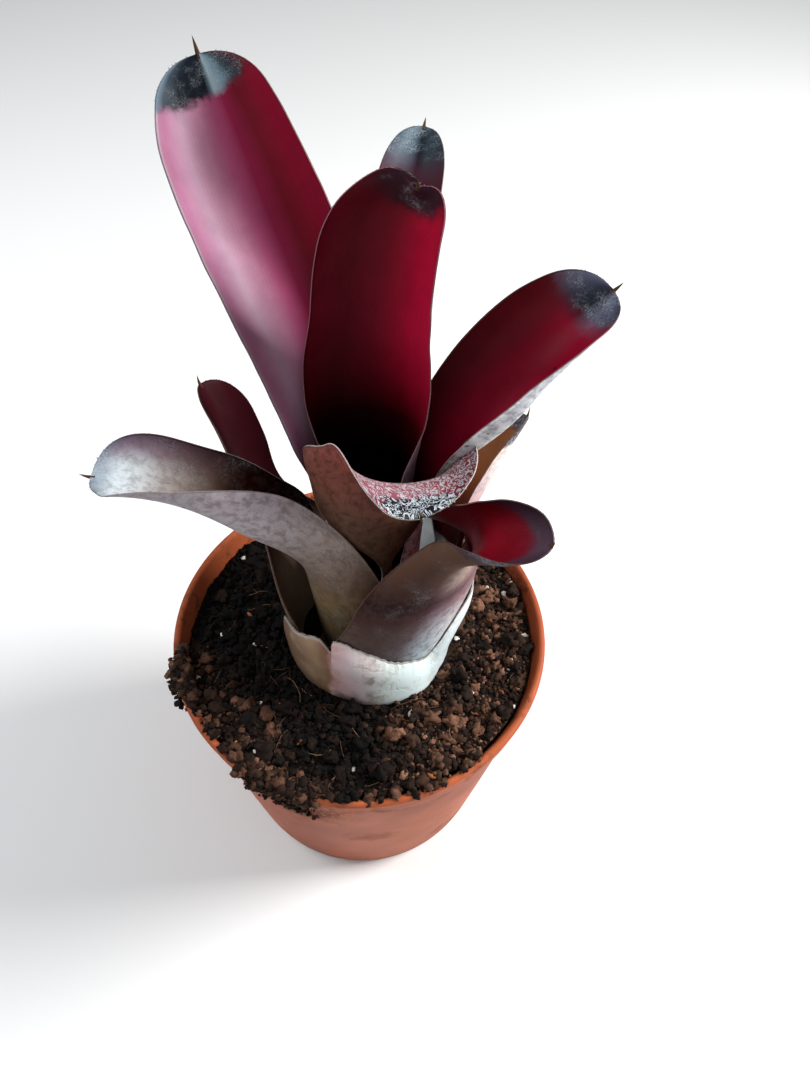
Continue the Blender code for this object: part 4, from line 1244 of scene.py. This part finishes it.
@dataclass
class Pot:
    """Moulded plastic pot with a collar, a rolled lip and a recessed foot."""

    effects: Effects
    sizes: PotSizes = field(default_factory=PotSizes)
    sides: int = 240
    hole_sides: int = 32
    hole_reach: float = 0.005
    spill_middle: tuple = (-0.0215, -0.056, 0.083)

    def profile(self) -> list[tuple[float, float]]:
        """Turned outline from the axis outside, over the lip and back to the axis inside."""
        size = self.sizes
        neck = size.height - size.collar_depth
        ring = size.base_radius - size.foot_ring
        points = [(0.0, size.foot_recess), (ring - 0.0007, size.foot_recess), (ring, 0.0)]

        def corner(radius: float, height: float, bend: float, start: float, end: float,
                   steps: int) -> None:
            """Add a round corner about a centre, its angles in degrees."""
            for turn in np.radians(np.linspace(start, end, steps)):
                points.append((radius + bend * math.cos(turn), height + bend * math.sin(turn)))

        corner(size.base_radius - size.foot_bend, size.foot_bend, size.foot_bend, -90, 10, 7)
        for share in np.linspace(0.06, 0.985, 26):
            bow = size.wall_bow * math.sin(math.pi * share)
            points.append((size.base_radius + (size.neck_radius - size.base_radius) * share + bow,
                           neck * share))
        corner(size.rim_radius - 0.0023, neck + 0.0002 + size.collar_bend, size.collar_bend, -90, 0, 6)
        for share in np.linspace(0.15, 0.8, 7):
            points.append((size.rim_radius - 0.0014 + 0.0008 * share, neck + size.collar_depth * share))
        corner(size.rim_radius - size.lip_bend, size.height - size.lip_bend, size.lip_bend, -40, 180, 12)
        for height in np.linspace(size.height - 0.004, size.floor, 18):
            points.append((size.inner_radius(height), float(height)))
        points.append((0.0, size.floor))
        return points

    def build(self) -> bpy.types.Object:
        """Turned shell with its drain holes cut."""
        profile = np.array(self.profile())
        turn = np.linspace(0.0, 2 * math.pi, self.sides, endpoint=False)
        body = profile[1:-1]
        ring = np.stack([body[:, :1] * np.cos(turn), body[:, :1] * np.sin(turn),
                         np.broadcast_to(body[:, 1:], (len(body), self.sides))], axis=-1)
        sway = rough_field(ring * [1.0, 1.0, 0.25], 0.045, 4.0) * 0.00016
        ring[..., :2] *= (1.0 + sway / np.maximum(body[:, :1], 0.01))[..., None]
        skin = Skin("pot_shell")
        skin.add_tube(ring, np.array([[0.0, 0.0, profile[0, 1]], [0.0, 0.0, profile[-1, 1]]]))
        shell = skin.build()
        self.drill(shell)
        shell.data.set_sharp_from_angle(angle=math.radians(45))
        return shell

    def drill(self, shell: bpy.types.Object) -> None:
        """Cut the drain holes through the floor."""
        size = self.sizes
        cutter = Skin("drain_cutters")
        turn = np.linspace(0.0, 2 * math.pi, self.hole_sides, endpoint=False)
        for hole in range(size.drain_holes):
            angle = 2 * math.pi * hole / size.drain_holes + math.radians(size.drain_turn)
            centre = np.array([size.drain_circle * math.cos(angle), size.drain_circle * math.sin(angle)])
            rim = centre + size.drain_radius * np.stack([np.cos(turn), np.sin(turn)], axis=-1)
            heights = (-self.hole_reach, self.hole_reach)
            rings = np.stack([np.column_stack([rim, np.full(len(rim), z)]) for z in heights])
            cutter.add_tube(rings, np.array([[*centre, z] for z in heights]))
        tool = cutter.build(smooth=False)
        cut = shell.modifiers.new("drains", "BOOLEAN")
        cut.operation = "DIFFERENCE"
        cut.object = tool
        with bpy.context.temp_override(object=shell, active_object=shell, selected_objects=[shell]):
            bpy.ops.object.modifier_apply(modifier=cut.name)
        bpy.data.objects.remove(tool, do_unlink=True)

    def dress(self, piece: bpy.types.Object) -> None:
        """Orange-brown plastic with soil stains, faint scuffs and dust."""
        made = Material("pot_plastic", Specular_IOR_Level=0.1)
        graph = made.graph
        place = graph.node("TexCoord").outputs["Object"]
        height = graph.node("SeparateXYZ", {0: place}).outputs["Z"]
        cloud = graph.noise(place, 22.0, 3.0, 0.55)
        base = graph.ramp(cloud, ((0.3, "843f26"), (0.5, "9e4f30"), (0.7, "b4613e")))
        scuff_space = graph.node("Mapping", {"Vector": place, "Scale": (1.0, 1.0, 6.0)}).outputs[0]
        scuff = graph.step(graph.noise(scuff_space, 160.0, 5.0, 0.7), 0.58, 0.75)
        colour = graph.mix(graph.math("MULTIPLY", scuff, 0.3), base, tone("c98260"))
        grit = graph.group(self.effects.trees[Effect.GRIT], Place=place, Size=0.0016)
        near_rim = graph.step(height, 0.062, 0.097)
        dirty = graph.math("MULTIPLY", graph.step(grit.outputs["Broad"], 0.47, 0.66), near_rim)
        dirty = graph.math("MULTIPLY", dirty, graph.step(grit.outputs["Fine"], 0.35, 0.6))
        low = graph.step(graph.noise(place, 35.0, 4.0, 0.6), 0.56, 0.7)
        dirt = graph.math("MAXIMUM", graph.math("MULTIPLY", dirty, 0.8), graph.math("MULTIPLY", low, 0.35))
        from_spill = graph.node("VectorMath", {0: place, 1: self.spill_middle}, operation="DISTANCE")
        spilt = graph.math("MULTIPLY_ADD", grit.outputs["Broad"], 0.03, from_spill.outputs["Value"])
        spilt = graph.math("MULTIPLY", graph.step(spilt, 0.042, 0.026),
                           graph.step(grit.outputs["Fine"], 0.3, 0.55))
        dirt = graph.math("MAXIMUM", dirt, graph.math("MULTIPLY", spilt, 0.8))
        colour = graph.mix(dirt, colour, tone("3a2318"))
        made.feed("Base Color", colour)
        made.feed("Roughness", graph.math("MULTIPLY_ADD", dirt, 0.35, 0.46, clamp=True))
        relief = graph.math("MULTIPLY_ADD", dirt, 1.2, graph.math("MULTIPLY", grit.outputs["Fine"], 0.25))
        made.bump(relief, 0.00018)
        made.put_on(piece)


class Grain(Enum):
    """Kinds of loose bits in the soil, each with its finish."""

    CRUMB = "crumb"
    PERLITE = "perlite"
    FIBRE = "fibre"
    BARK = "bark"


class Where(Enum):
    """Where loose bits lie."""

    BED = "bed"
    RIM = "rim"
    WALL = "wall"


@dataclass(frozen=True)
class Bits:
    """One scatter of like bits."""

    name: str
    kind: Grain
    count: int
    smallest: float
    largest: float
    subdivisions: int
    roughness: float
    seed: int
    where: Where = Where.BED


def ball(subdivisions: int) -> tuple[np.ndarray, np.ndarray]:
    """Points and faces of a unit ball of near-equal triangles."""
    golden = (1 + math.sqrt(5)) / 2
    points = [(-1, golden, 0), (1, golden, 0), (-1, -golden, 0), (1, -golden, 0), (0, -1, golden),
              (0, 1, golden), (0, -1, -golden), (0, 1, -golden), (golden, 0, -1), (golden, 0, 1),
              (-golden, 0, -1), (-golden, 0, 1)]
    points = [Vector(p).normalized() for p in points]
    faces = [(0, 11, 5), (0, 5, 1), (0, 1, 7), (0, 7, 10), (0, 10, 11), (1, 5, 9), (5, 11, 4),
             (11, 10, 2), (10, 7, 6), (7, 1, 8), (3, 9, 4), (3, 4, 2), (3, 2, 6), (3, 6, 8), (3, 8, 9),
             (4, 9, 5), (2, 4, 11), (6, 2, 10), (8, 6, 7), (9, 8, 1)]
    for _ in range(subdivisions):
        middles: dict[tuple[int, int], int] = {}
        finer = []
        for a, b, c in faces:
            halves = []
            for pair in ((a, b), (b, c), (c, a)):
                key = (min(pair), max(pair))
                if key not in middles:
                    middles[key] = len(points)
                    points.append((points[key[0]] + points[key[1]]).normalized())
                halves.append(middles[key])
            ab, bc, ca = halves
            finer += [(a, ab, ca), (b, bc, ab), (c, ca, bc), (ab, bc, ca)]
        faces = finer
    return np.array([tuple(p) for p in points]), np.array(faces)


@dataclass
class Soil:
    """Peat that fills the pot, with crumbs, perlite, bark and fibres on top."""

    effects: Effects
    pot: PotSizes = field(default_factory=PotSizes)
    level: float = 0.0905
    rise_in_front: float = 0.0042
    dip_behind_left: float = 0.0035
    bump: float = 0.0011
    bump_size: float = 0.014
    gap: float = 0.0003
    rings: int = 110
    sides: int = 300
    tube_radius: float = 0.0264
    scatters: tuple = (
        Bits("soil_dust", Grain.CRUMB, count=6000, smallest=0.0003, largest=0.0008,
             subdivisions=0, roughness=0.35, seed=11),
        Bits("soil_crumbs", Grain.CRUMB, count=2450, smallest=0.0006, largest=0.0014,
             subdivisions=1, roughness=0.5, seed=12),
        Bits("soil_lumps", Grain.CRUMB, count=570, smallest=0.0011, largest=0.0027,
             subdivisions=2, roughness=0.6, seed=13),
        Bits("soil_perlite", Grain.PERLITE, count=36, smallest=0.0007, largest=0.0015,
             subdivisions=2, roughness=0.3, seed=14),
        Bits("soil_on_rim", Grain.CRUMB, count=800, smallest=0.0005, largest=0.0018,
             subdivisions=1, roughness=0.55, seed=17, where=Where.RIM),
        Bits("soil_on_wall", Grain.CRUMB, count=300, smallest=0.0003, largest=0.0010,
             subdivisions=1, roughness=0.55, seed=18, where=Where.WALL),
    )
    rim_front: tuple = (190.0, 312.0)
    clump_at: float = 202.0
    wall_middle: float = 249.0
    wall_reach: float = 6.5
    wall_drop: float = 0.026
    clump_share: float = 0.2
    clump_and_spill_share: float = 0.65
    clump_spread: float = 3.5
    rim_width: float = 0.0048
    ridge_size: float = 0.0042
    ridge_height: float = 0.0008
    crumb_size: float = 0.0017
    crumb_height: float = 0.00035
    sunk: float = 0.0004

    def height(self, x: float, y: float) -> float:
        """Height of the soil's broad surface at a place in the pot."""
        forward = -y / self.pot.rim_radius
        behind_left = (y - x) / (math.sqrt(2) * self.pot.rim_radius)
        bump = noise.noise(Vector((x, y, 0.0)) / self.bump_size)
        return (self.level + self.rise_in_front * float(ease(forward))
                - self.dip_behind_left * float(ease(behind_left)) + self.bump * bump)

    def crumbled(self, x: float, y: float) -> float:
        """Height with the crumbly relief on it."""
        place = Vector((x, y, 0.0))
        ridge = 1.0 - abs(noise.noise(place / self.ridge_size + Vector((7.0, 2.0, 0.0)))) * 2.0
        small = noise.noise(place / self.crumb_size)
        return self.height(x, y) + self.ridge_height * ridge + self.crumb_height * small - self.sunk

    def build(self) -> bpy.types.Object:
        """Closed body of soil with a crumbly top."""
        outer = self.pot.inner_radius(self.level) - self.gap
        floor = self.pot.floor + self.gap
        radii = outer * np.linspace(1.0, 0.02, self.rings)
        turn = np.linspace(0.0, 2 * math.pi, self.sides, endpoint=False)
        flat = np.stack([radii[:, None] * np.cos(turn), radii[:, None] * np.sin(turn)], axis=-1)
        tops = np.array([[self.crumbled(float(x), float(y)) for x, y in row] for row in flat])
        top = np.concatenate([flat, tops[..., None]], axis=-1)
        low_radius = self.pot.inner_radius(floor) - self.gap
        foot = np.stack([low_radius * np.cos(turn), low_radius * np.sin(turn),
                         np.full(self.sides, floor)], axis=-1)
        skin = Skin("soil_body")
        skin.add_tube(np.concatenate([foot[None], top]),
                      np.array([[0.0, 0.0, floor], [0.0, 0.0, self.height(0.0, 0.0)]]))
        body = skin.build()
        body.data.set_sharp_from_angle(angle=math.radians(60))
        return body

    def spot(self, rng: random.Random, size: float) -> tuple[float, float]:
        """Random place on the soil, clear of the tube and inside the wall."""
        reach = self.pot.inner_radius(self.level) - size
        while True:
            x, y = rng.uniform(-reach, reach), rng.uniform(-reach, reach)
            from_tube = math.hypot(x - PLANT_FOOT.x, y - PLANT_FOOT.y)
            if math.hypot(x, y) < reach and from_tube > self.tube_radius + size * 0.5:
                return x, y

    def lying(self, rng: random.Random, bits: Bits, size: float) -> tuple[float, float, float]:
        """Random resting place of one bit.

        Args:
            rng: Source of the draws.
            bits: The scatter that it belongs to.
            size: Its size.

        Returns:
            The place.
        """
        if bits.where is Where.BED:
            x, y = self.spot(rng, size)
            return x, y, self.crumbled(x, y) + size * rng.uniform(-0.1, 0.5)
        if bits.where is Where.RIM:
            draw = rng.random()
            if draw < self.clump_share:
                angle, past_rim = rng.gauss(self.clump_at, self.clump_spread), 0.0016
            elif draw < self.clump_and_spill_share:
                angle, past_rim = self.wall_middle + self.wall_reach * rng.uniform(-1.9, 1.9), 0.0006
            else:
                angle, past_rim = rng.uniform(*self.rim_front), -0.0016
            angle = math.radians(angle)
            radius = rng.uniform(self.pot.rim_radius - self.rim_width, self.pot.rim_radius + past_rim)
            height = self.pot.height + size * rng.uniform(-0.1, 0.6)
            height -= max(radius - self.pot.rim_radius + 0.0006, 0.0) * rng.uniform(0.5, 2.0)
        else:
            angle = math.radians(self.wall_middle + self.wall_reach * rng.uniform(-1.6, 1.6))
            height = self.pot.height - self.wall_drop * rng.random() ** 1.6
            neck = self.pot.height - self.pot.collar_depth
            on_wall = self.pot.inner_radius(height) + self.pot.wall
            radius = self.pot.rim_radius if height > neck else on_wall
            radius += size * rng.uniform(-0.3, 0.2)
        return radius * math.cos(angle), radius * math.sin(angle), height

    def scatter(self, bits: Bits) -> bpy.types.Object:
        """Lay one kind of bits on the soil as one piece.

        Args:
            bits: The kind, number and sizes.

        Returns:
            The piece.
        """
        rng = random.Random(bits.seed)
        points, faces = ball(bits.subdivisions)
        directions = [Vector(p) for p in points]
        skin = Skin(bits.name)
        for _ in range(bits.count):
            size = bits.smallest + (bits.largest - bits.smallest) * rng.random() ** 2.2
            place = self.lying(rng, bits, size)
            offset = Vector((rng.uniform(0, 90), rng.uniform(0, 90), rng.uniform(0, 90)))
            swell = np.array([1.0 + bits.roughness * 1.6 * noise.noise(p * 1.3 + offset)
                              + bits.roughness * 0.7 * noise.noise(p * 3.4 + offset)
                              for p in directions])
            stretch = np.array([rng.uniform(0.75, 1.3), rng.uniform(0.7, 1.1), rng.uniform(0.6, 0.95)])
            turn = np.array(Matrix.Rotation(rng.uniform(0, 6.28), 3, "Z")
                            @ Matrix.Rotation(rng.uniform(-0.6, 0.6), 3, "X"))
            shape = (points * swell[:, None] * stretch * size) @ turn.T
            skin.add(shape + np.array(place), faces, shade=rng.random())
        return skin.build(smooth=bits.subdivisions > 0)

    def strands(self, name: str, count: int, seed: int, length: tuple, width: tuple,
                steps: int = 9, turns: int = 5) -> bpy.types.Object:
        """Fine fibres or splinters lying on the soil, as one piece.

        Args:
            name: The piece's name.
            count: Number of strands.
            seed: Seed of the scatter.
            length: Shortest and longest strand.
            width: Thinnest and thickest radius.
            steps: Rings along a strand.
            turns: Sides of a strand.

        Returns:
            The piece.
        """
        rng = random.Random(seed)
        skin = Skin(name)
        angle = np.linspace(0.0, 2 * math.pi, turns, endpoint=False)[None, :, None]
        for _ in range(count):
            reach = rng.uniform(*length)
            radius = rng.uniform(*width)
            x, y = self.spot(rng, reach * 0.5)
            heading = rng.uniform(0, 2 * math.pi)
            curl = rng.uniform(-1.6, 1.6)
            line = []
            for step in range(steps):
                line.append((x, y, self.crumbled(x, y) + radius + 0.0006
                             + 0.0008 * math.sin(step * 1.3 + heading) ** 2))
                heading += curl / steps + rng.uniform(-0.2, 0.2)
                x += math.cos(heading) * reach / steps
                y += math.sin(heading) * reach / steps
            track = np.array(line)
            forward = unit(np.gradient(track, axis=0))
            side = unit(np.cross(forward, [0.0, 0.0, 1.0]))
            up = np.cross(side, forward)
            taper = radius * (1.0 - 0.55 * np.abs(np.linspace(-1, 1, steps)) ** 3)
            ring = np.cos(angle) * side[:, None] + np.sin(angle) * up[:, None]
            tube = track[:, None] + taper[:, None, None] * ring
            skin.add_tube(tube, track[[0, -1]], flip=True, shade=rng.random())
        return skin.build()

    def painted_light_on_soil(self, graph: Graph, place: object) -> object:
        """Mask of the painted light that leaves the soil lighter and browner at the right and along the
        front-left rim.

        Args:
            graph: Material that gets the nodes.
            place: Place on the object.

        Returns:
            Mask value, 0 where painted shade darkens the soil.
        """
        lateral = graph.node("SeparateXYZ", {0: place})
        wander = graph.math("MULTIPLY_ADD", graph.noise(place, 90.0, 3.0), 0.024, -0.012)
        right = graph.step(graph.math("ADD", lateral.outputs["X"], wander), 0.002, 0.018)
        slanted = graph.math("ADD", graph.math("ADD", lateral.outputs["X"], lateral.outputs["Y"]), wander)
        front_left = graph.math("MULTIPLY", graph.step(slanted, -0.052, -0.066), 0.75)
        return graph.math("MAXIMUM", right, front_left)

    def dress(self, piece: bpy.types.Object, kind: Grain) -> None:
        """Give a piece of the soil its finish.

        Args:
            piece: The soil or a scatter on it.
            kind: Which finish it takes.
        """
        stops = {
            Grain.CRUMB: ((0.0, "120b08"), (0.45, "281a13"), (0.75, "473024"), (0.93, "6b4a38"),
                          (1.0, "8a6350")),
            Grain.PERLITE: ((0.0, "b9b2a6"), (1.0, "e6e2da")),
            Grain.FIBRE: ((0.0, "24160f"), (0.6, "4a3224"), (1.0, "86674f")),
            Grain.BARK: ((0.0, "4a2a1a"), (0.6, "7a4528"), (1.0, "b87444")),
        }[kind]
        made = Material(f"{piece.name}_finish", Specular_IOR_Level=0.14)
        graph = made.graph
        place = graph.node("TexCoord").outputs["Object"]
        grit = graph.group(self.effects.trees[Effect.GRIT], Place=place, Size=0.0011)
        shade = graph.read("shade")
        if piece.name == "soil_body":
            shade = graph.step(grit.outputs["Broad"], 0.35, 0.85)
        mixed = graph.math("MULTIPLY_ADD", graph.math("SUBTRACT", grit.outputs["Fine"], 0.5), 0.5, shade,
                           clamp=True)
        colour = graph.ramp(mixed, stops)
        # Crumbs are multiplied darker and greyer where the painted shade falls, and kept as they are where
        # the painted light falls.
        if kind is Grain.CRUMB:
            colour = graph.mix(1.0, colour, graph.ramp(self.painted_light_on_soil(graph, place), (
                (0.0, "524c4a"), (0.5, "aca4a0"), (1.0, "ffffff"))), "MULTIPLY")
        made.feed("Base Color", colour)
        made.feed("Roughness", graph.math("MULTIPLY_ADD", grit.outputs["Fine"], 0.3, 0.68))
        made.bump(grit.outputs["Height"], 0.0004)
        made.put_on(piece)


def dress_stem(effects: Effects, stem: bpy.types.Object) -> None:
    """Fibrous finish of the hidden stem.

    Args:
        effects: Shared node groups.
        stem: The solid, kept as it is.
    """
    made = Material("stem_finish", Specular_IOR_Level=0.3)
    graph = made.graph
    place = graph.node("TexCoord").outputs["Object"]
    grit = graph.group(effects.trees[Effect.GRIT], Place=place, Size=0.0015)
    made.feed("Base Color", graph.ramp(grit.outputs["Fine"], ((0.3, "3a2a1c"), (0.7, "6b5138"))))
    made.feed("Roughness", graph.math("MULTIPLY_ADD", grit.outputs["Fine"], 0.2, 0.7))
    made.bump(grit.outputs["Height"], 0.0003)
    made.put_on(stem)


@dataclass
class Studio:
    """Pale floor, soft lights and the camera."""

    floor_size: float = 4.0
    floor_tone: float = 0.8
    sky_strength: float = 0.36

    def floor(self) -> None:
        """Plain pale floor under the pot."""
        half = self.floor_size / 2
        skin = Skin("studio_floor")
        ends = ((-half, -half, 0.0), (half, -half, 0.0), (half, half, 0.0), (-half, half, 0.0))
        skin.add(np.array(ends), np.array([[0, 1, 2, 3]]))
        floor = skin.build(smooth=False)
        made = Material("studio_floor_paint", Roughness=0.9, Specular_IOR_Level=0.1)
        made.shader.inputs["Base Color"].default_value = (*[self.floor_tone] * 3, 1.0)
        made.put_on(floor)

    def light(self, name: str, place: tuple, aim: tuple, size: float, power: float,
              colour: tuple) -> None:
        """Square soft light.

        Args:
            name: The light's name.
            place: Where it hangs.
            aim: Point that it shines at.
            size: Width of the light.
            power: Power in watts.
            colour: Colour of its light.
        """
        data = bpy.data.lights.new(name, "AREA")
        data.size = size
        data.energy = power
        data.color = colour
        lamp = bpy.data.objects.new(name, data)
        lamp.location = place
        lamp.rotation_euler = (Vector(aim) - Vector(place)).to_track_quat("-Z", "Y").to_euler()
        bpy.context.scene.collection.objects.link(lamp)

    def camera(self) -> None:
        """Camera at the picture's place, looking down on the front."""
        pitch, roll = math.radians(CAMERA_PITCH), math.radians(CAMERA_ROLL)
        forward = Vector((0.0, math.cos(pitch), -math.sin(pitch)))
        right = Vector((1.0, 0.0, 0.0))
        up = right.cross(forward)
        rolled_right = math.cos(roll) * right + math.sin(roll) * up
        rolled_up = math.cos(roll) * up - math.sin(roll) * right
        data = bpy.data.cameras.new("picture_camera")
        data.lens = CAMERA_LENS_MM
        data.sensor_width = CAMERA_SENSOR_MM
        data.clip_start = 0.01
        camera = bpy.data.objects.new("picture_camera", data)
        camera.matrix_world = Matrix.Translation(CAMERA_PLACE) @ Matrix(
            (rolled_right, rolled_up, -forward)).transposed().to_4x4()
        bpy.context.scene.collection.objects.link(camera)
        bpy.context.scene.camera = camera

    def build(self) -> None:
        """Set up the whole studio."""
        world = bpy.data.worlds.new("studio_world")
        world.use_nodes = True
        background = world.node_tree.nodes["Background"]
        background.inputs["Color"].default_value = (0.95, 0.98, 1.0, 1.0)
        background.inputs["Strength"].default_value = self.sky_strength
        bpy.context.scene.world = world
        bpy.context.scene.view_settings.view_transform = "Standard"
        self.floor()
        self.light("window_right", place=(0.60, 0.12, 0.48), aim=(0.0, 0.0, 0.12), size=0.3,
                   power=9.5, colour=(1.0, 0.99, 0.97))
        self.light("sky_left", place=(-0.52, 0.1, 0.60), aim=(0.0, 0.0, 0.16), size=0.35,
                   power=3.2, colour=(0.93, 0.97, 1.0))
        self.light("fill_front", place=(0.1, -0.9, 0.7), aim=(0.0, 0.0, 0.1), size=0.9,
                   power=1.2, colour=(1.0, 1.0, 1.0))
        self.camera()


def show(piece: bpy.types.Object, slot: str, *nodes: str) -> None:
    """Put a finished piece on the part.

    Args:
        piece: The piece.
        slot: Material slot of the record; not used.
        *nodes: Solids that it stands for.
    """
    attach(piece, BODY)
    if nodes:
        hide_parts(*nodes)
    LOG.info("%s: %d faces", piece.name, len(piece.data.polygons))


def main() -> None:
    """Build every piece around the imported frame."""
    logging.basicConfig(level=logging.INFO, format="%(message)s")
    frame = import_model()
    effects = Effects()
    Studio().build()

    pot = Pot(effects)
    shell = pot.build()
    pot.dress(shell)
    show(shell, "pot", "pot")

    soil = Soil(effects)
    body = soil.build()
    soil.dress(body, Grain.CRUMB)
    show(body, "soil", "soil")
    for bits in soil.scatters:
        loose = soil.scatter(bits)
        soil.dress(loose, bits.kind)
        show(loose, "soil")
    fibres = soil.strands("soil_fibres", count=90, seed=21, length=(0.004, 0.013),
                          width=(0.00008, 0.00018))
    soil.dress(fibres, Grain.FIBRE)
    show(fibres, "soil")
    bark = soil.strands("soil_bark", count=16, seed=22, length=(0.002, 0.004),
                        width=(0.0003, 0.0006), steps=5, turns=4)
    soil.dress(bark, Grain.BARK)
    show(bark, "soil")

    dress_stem(effects, frame["nodes"]["stem"])
    collar = OldSheath()
    old = collar.build()
    collar.dress(old)
    show(old, "old_sheath", "old_sheath")

    for shape, paint in LEAVES:
        leaf = Leaf(shape, paint, effects)
        blade = leaf.build()
        leaf.dress(blade)
        show(blade, "leaf", shape.node)


if __name__ == "__main__":
    main()
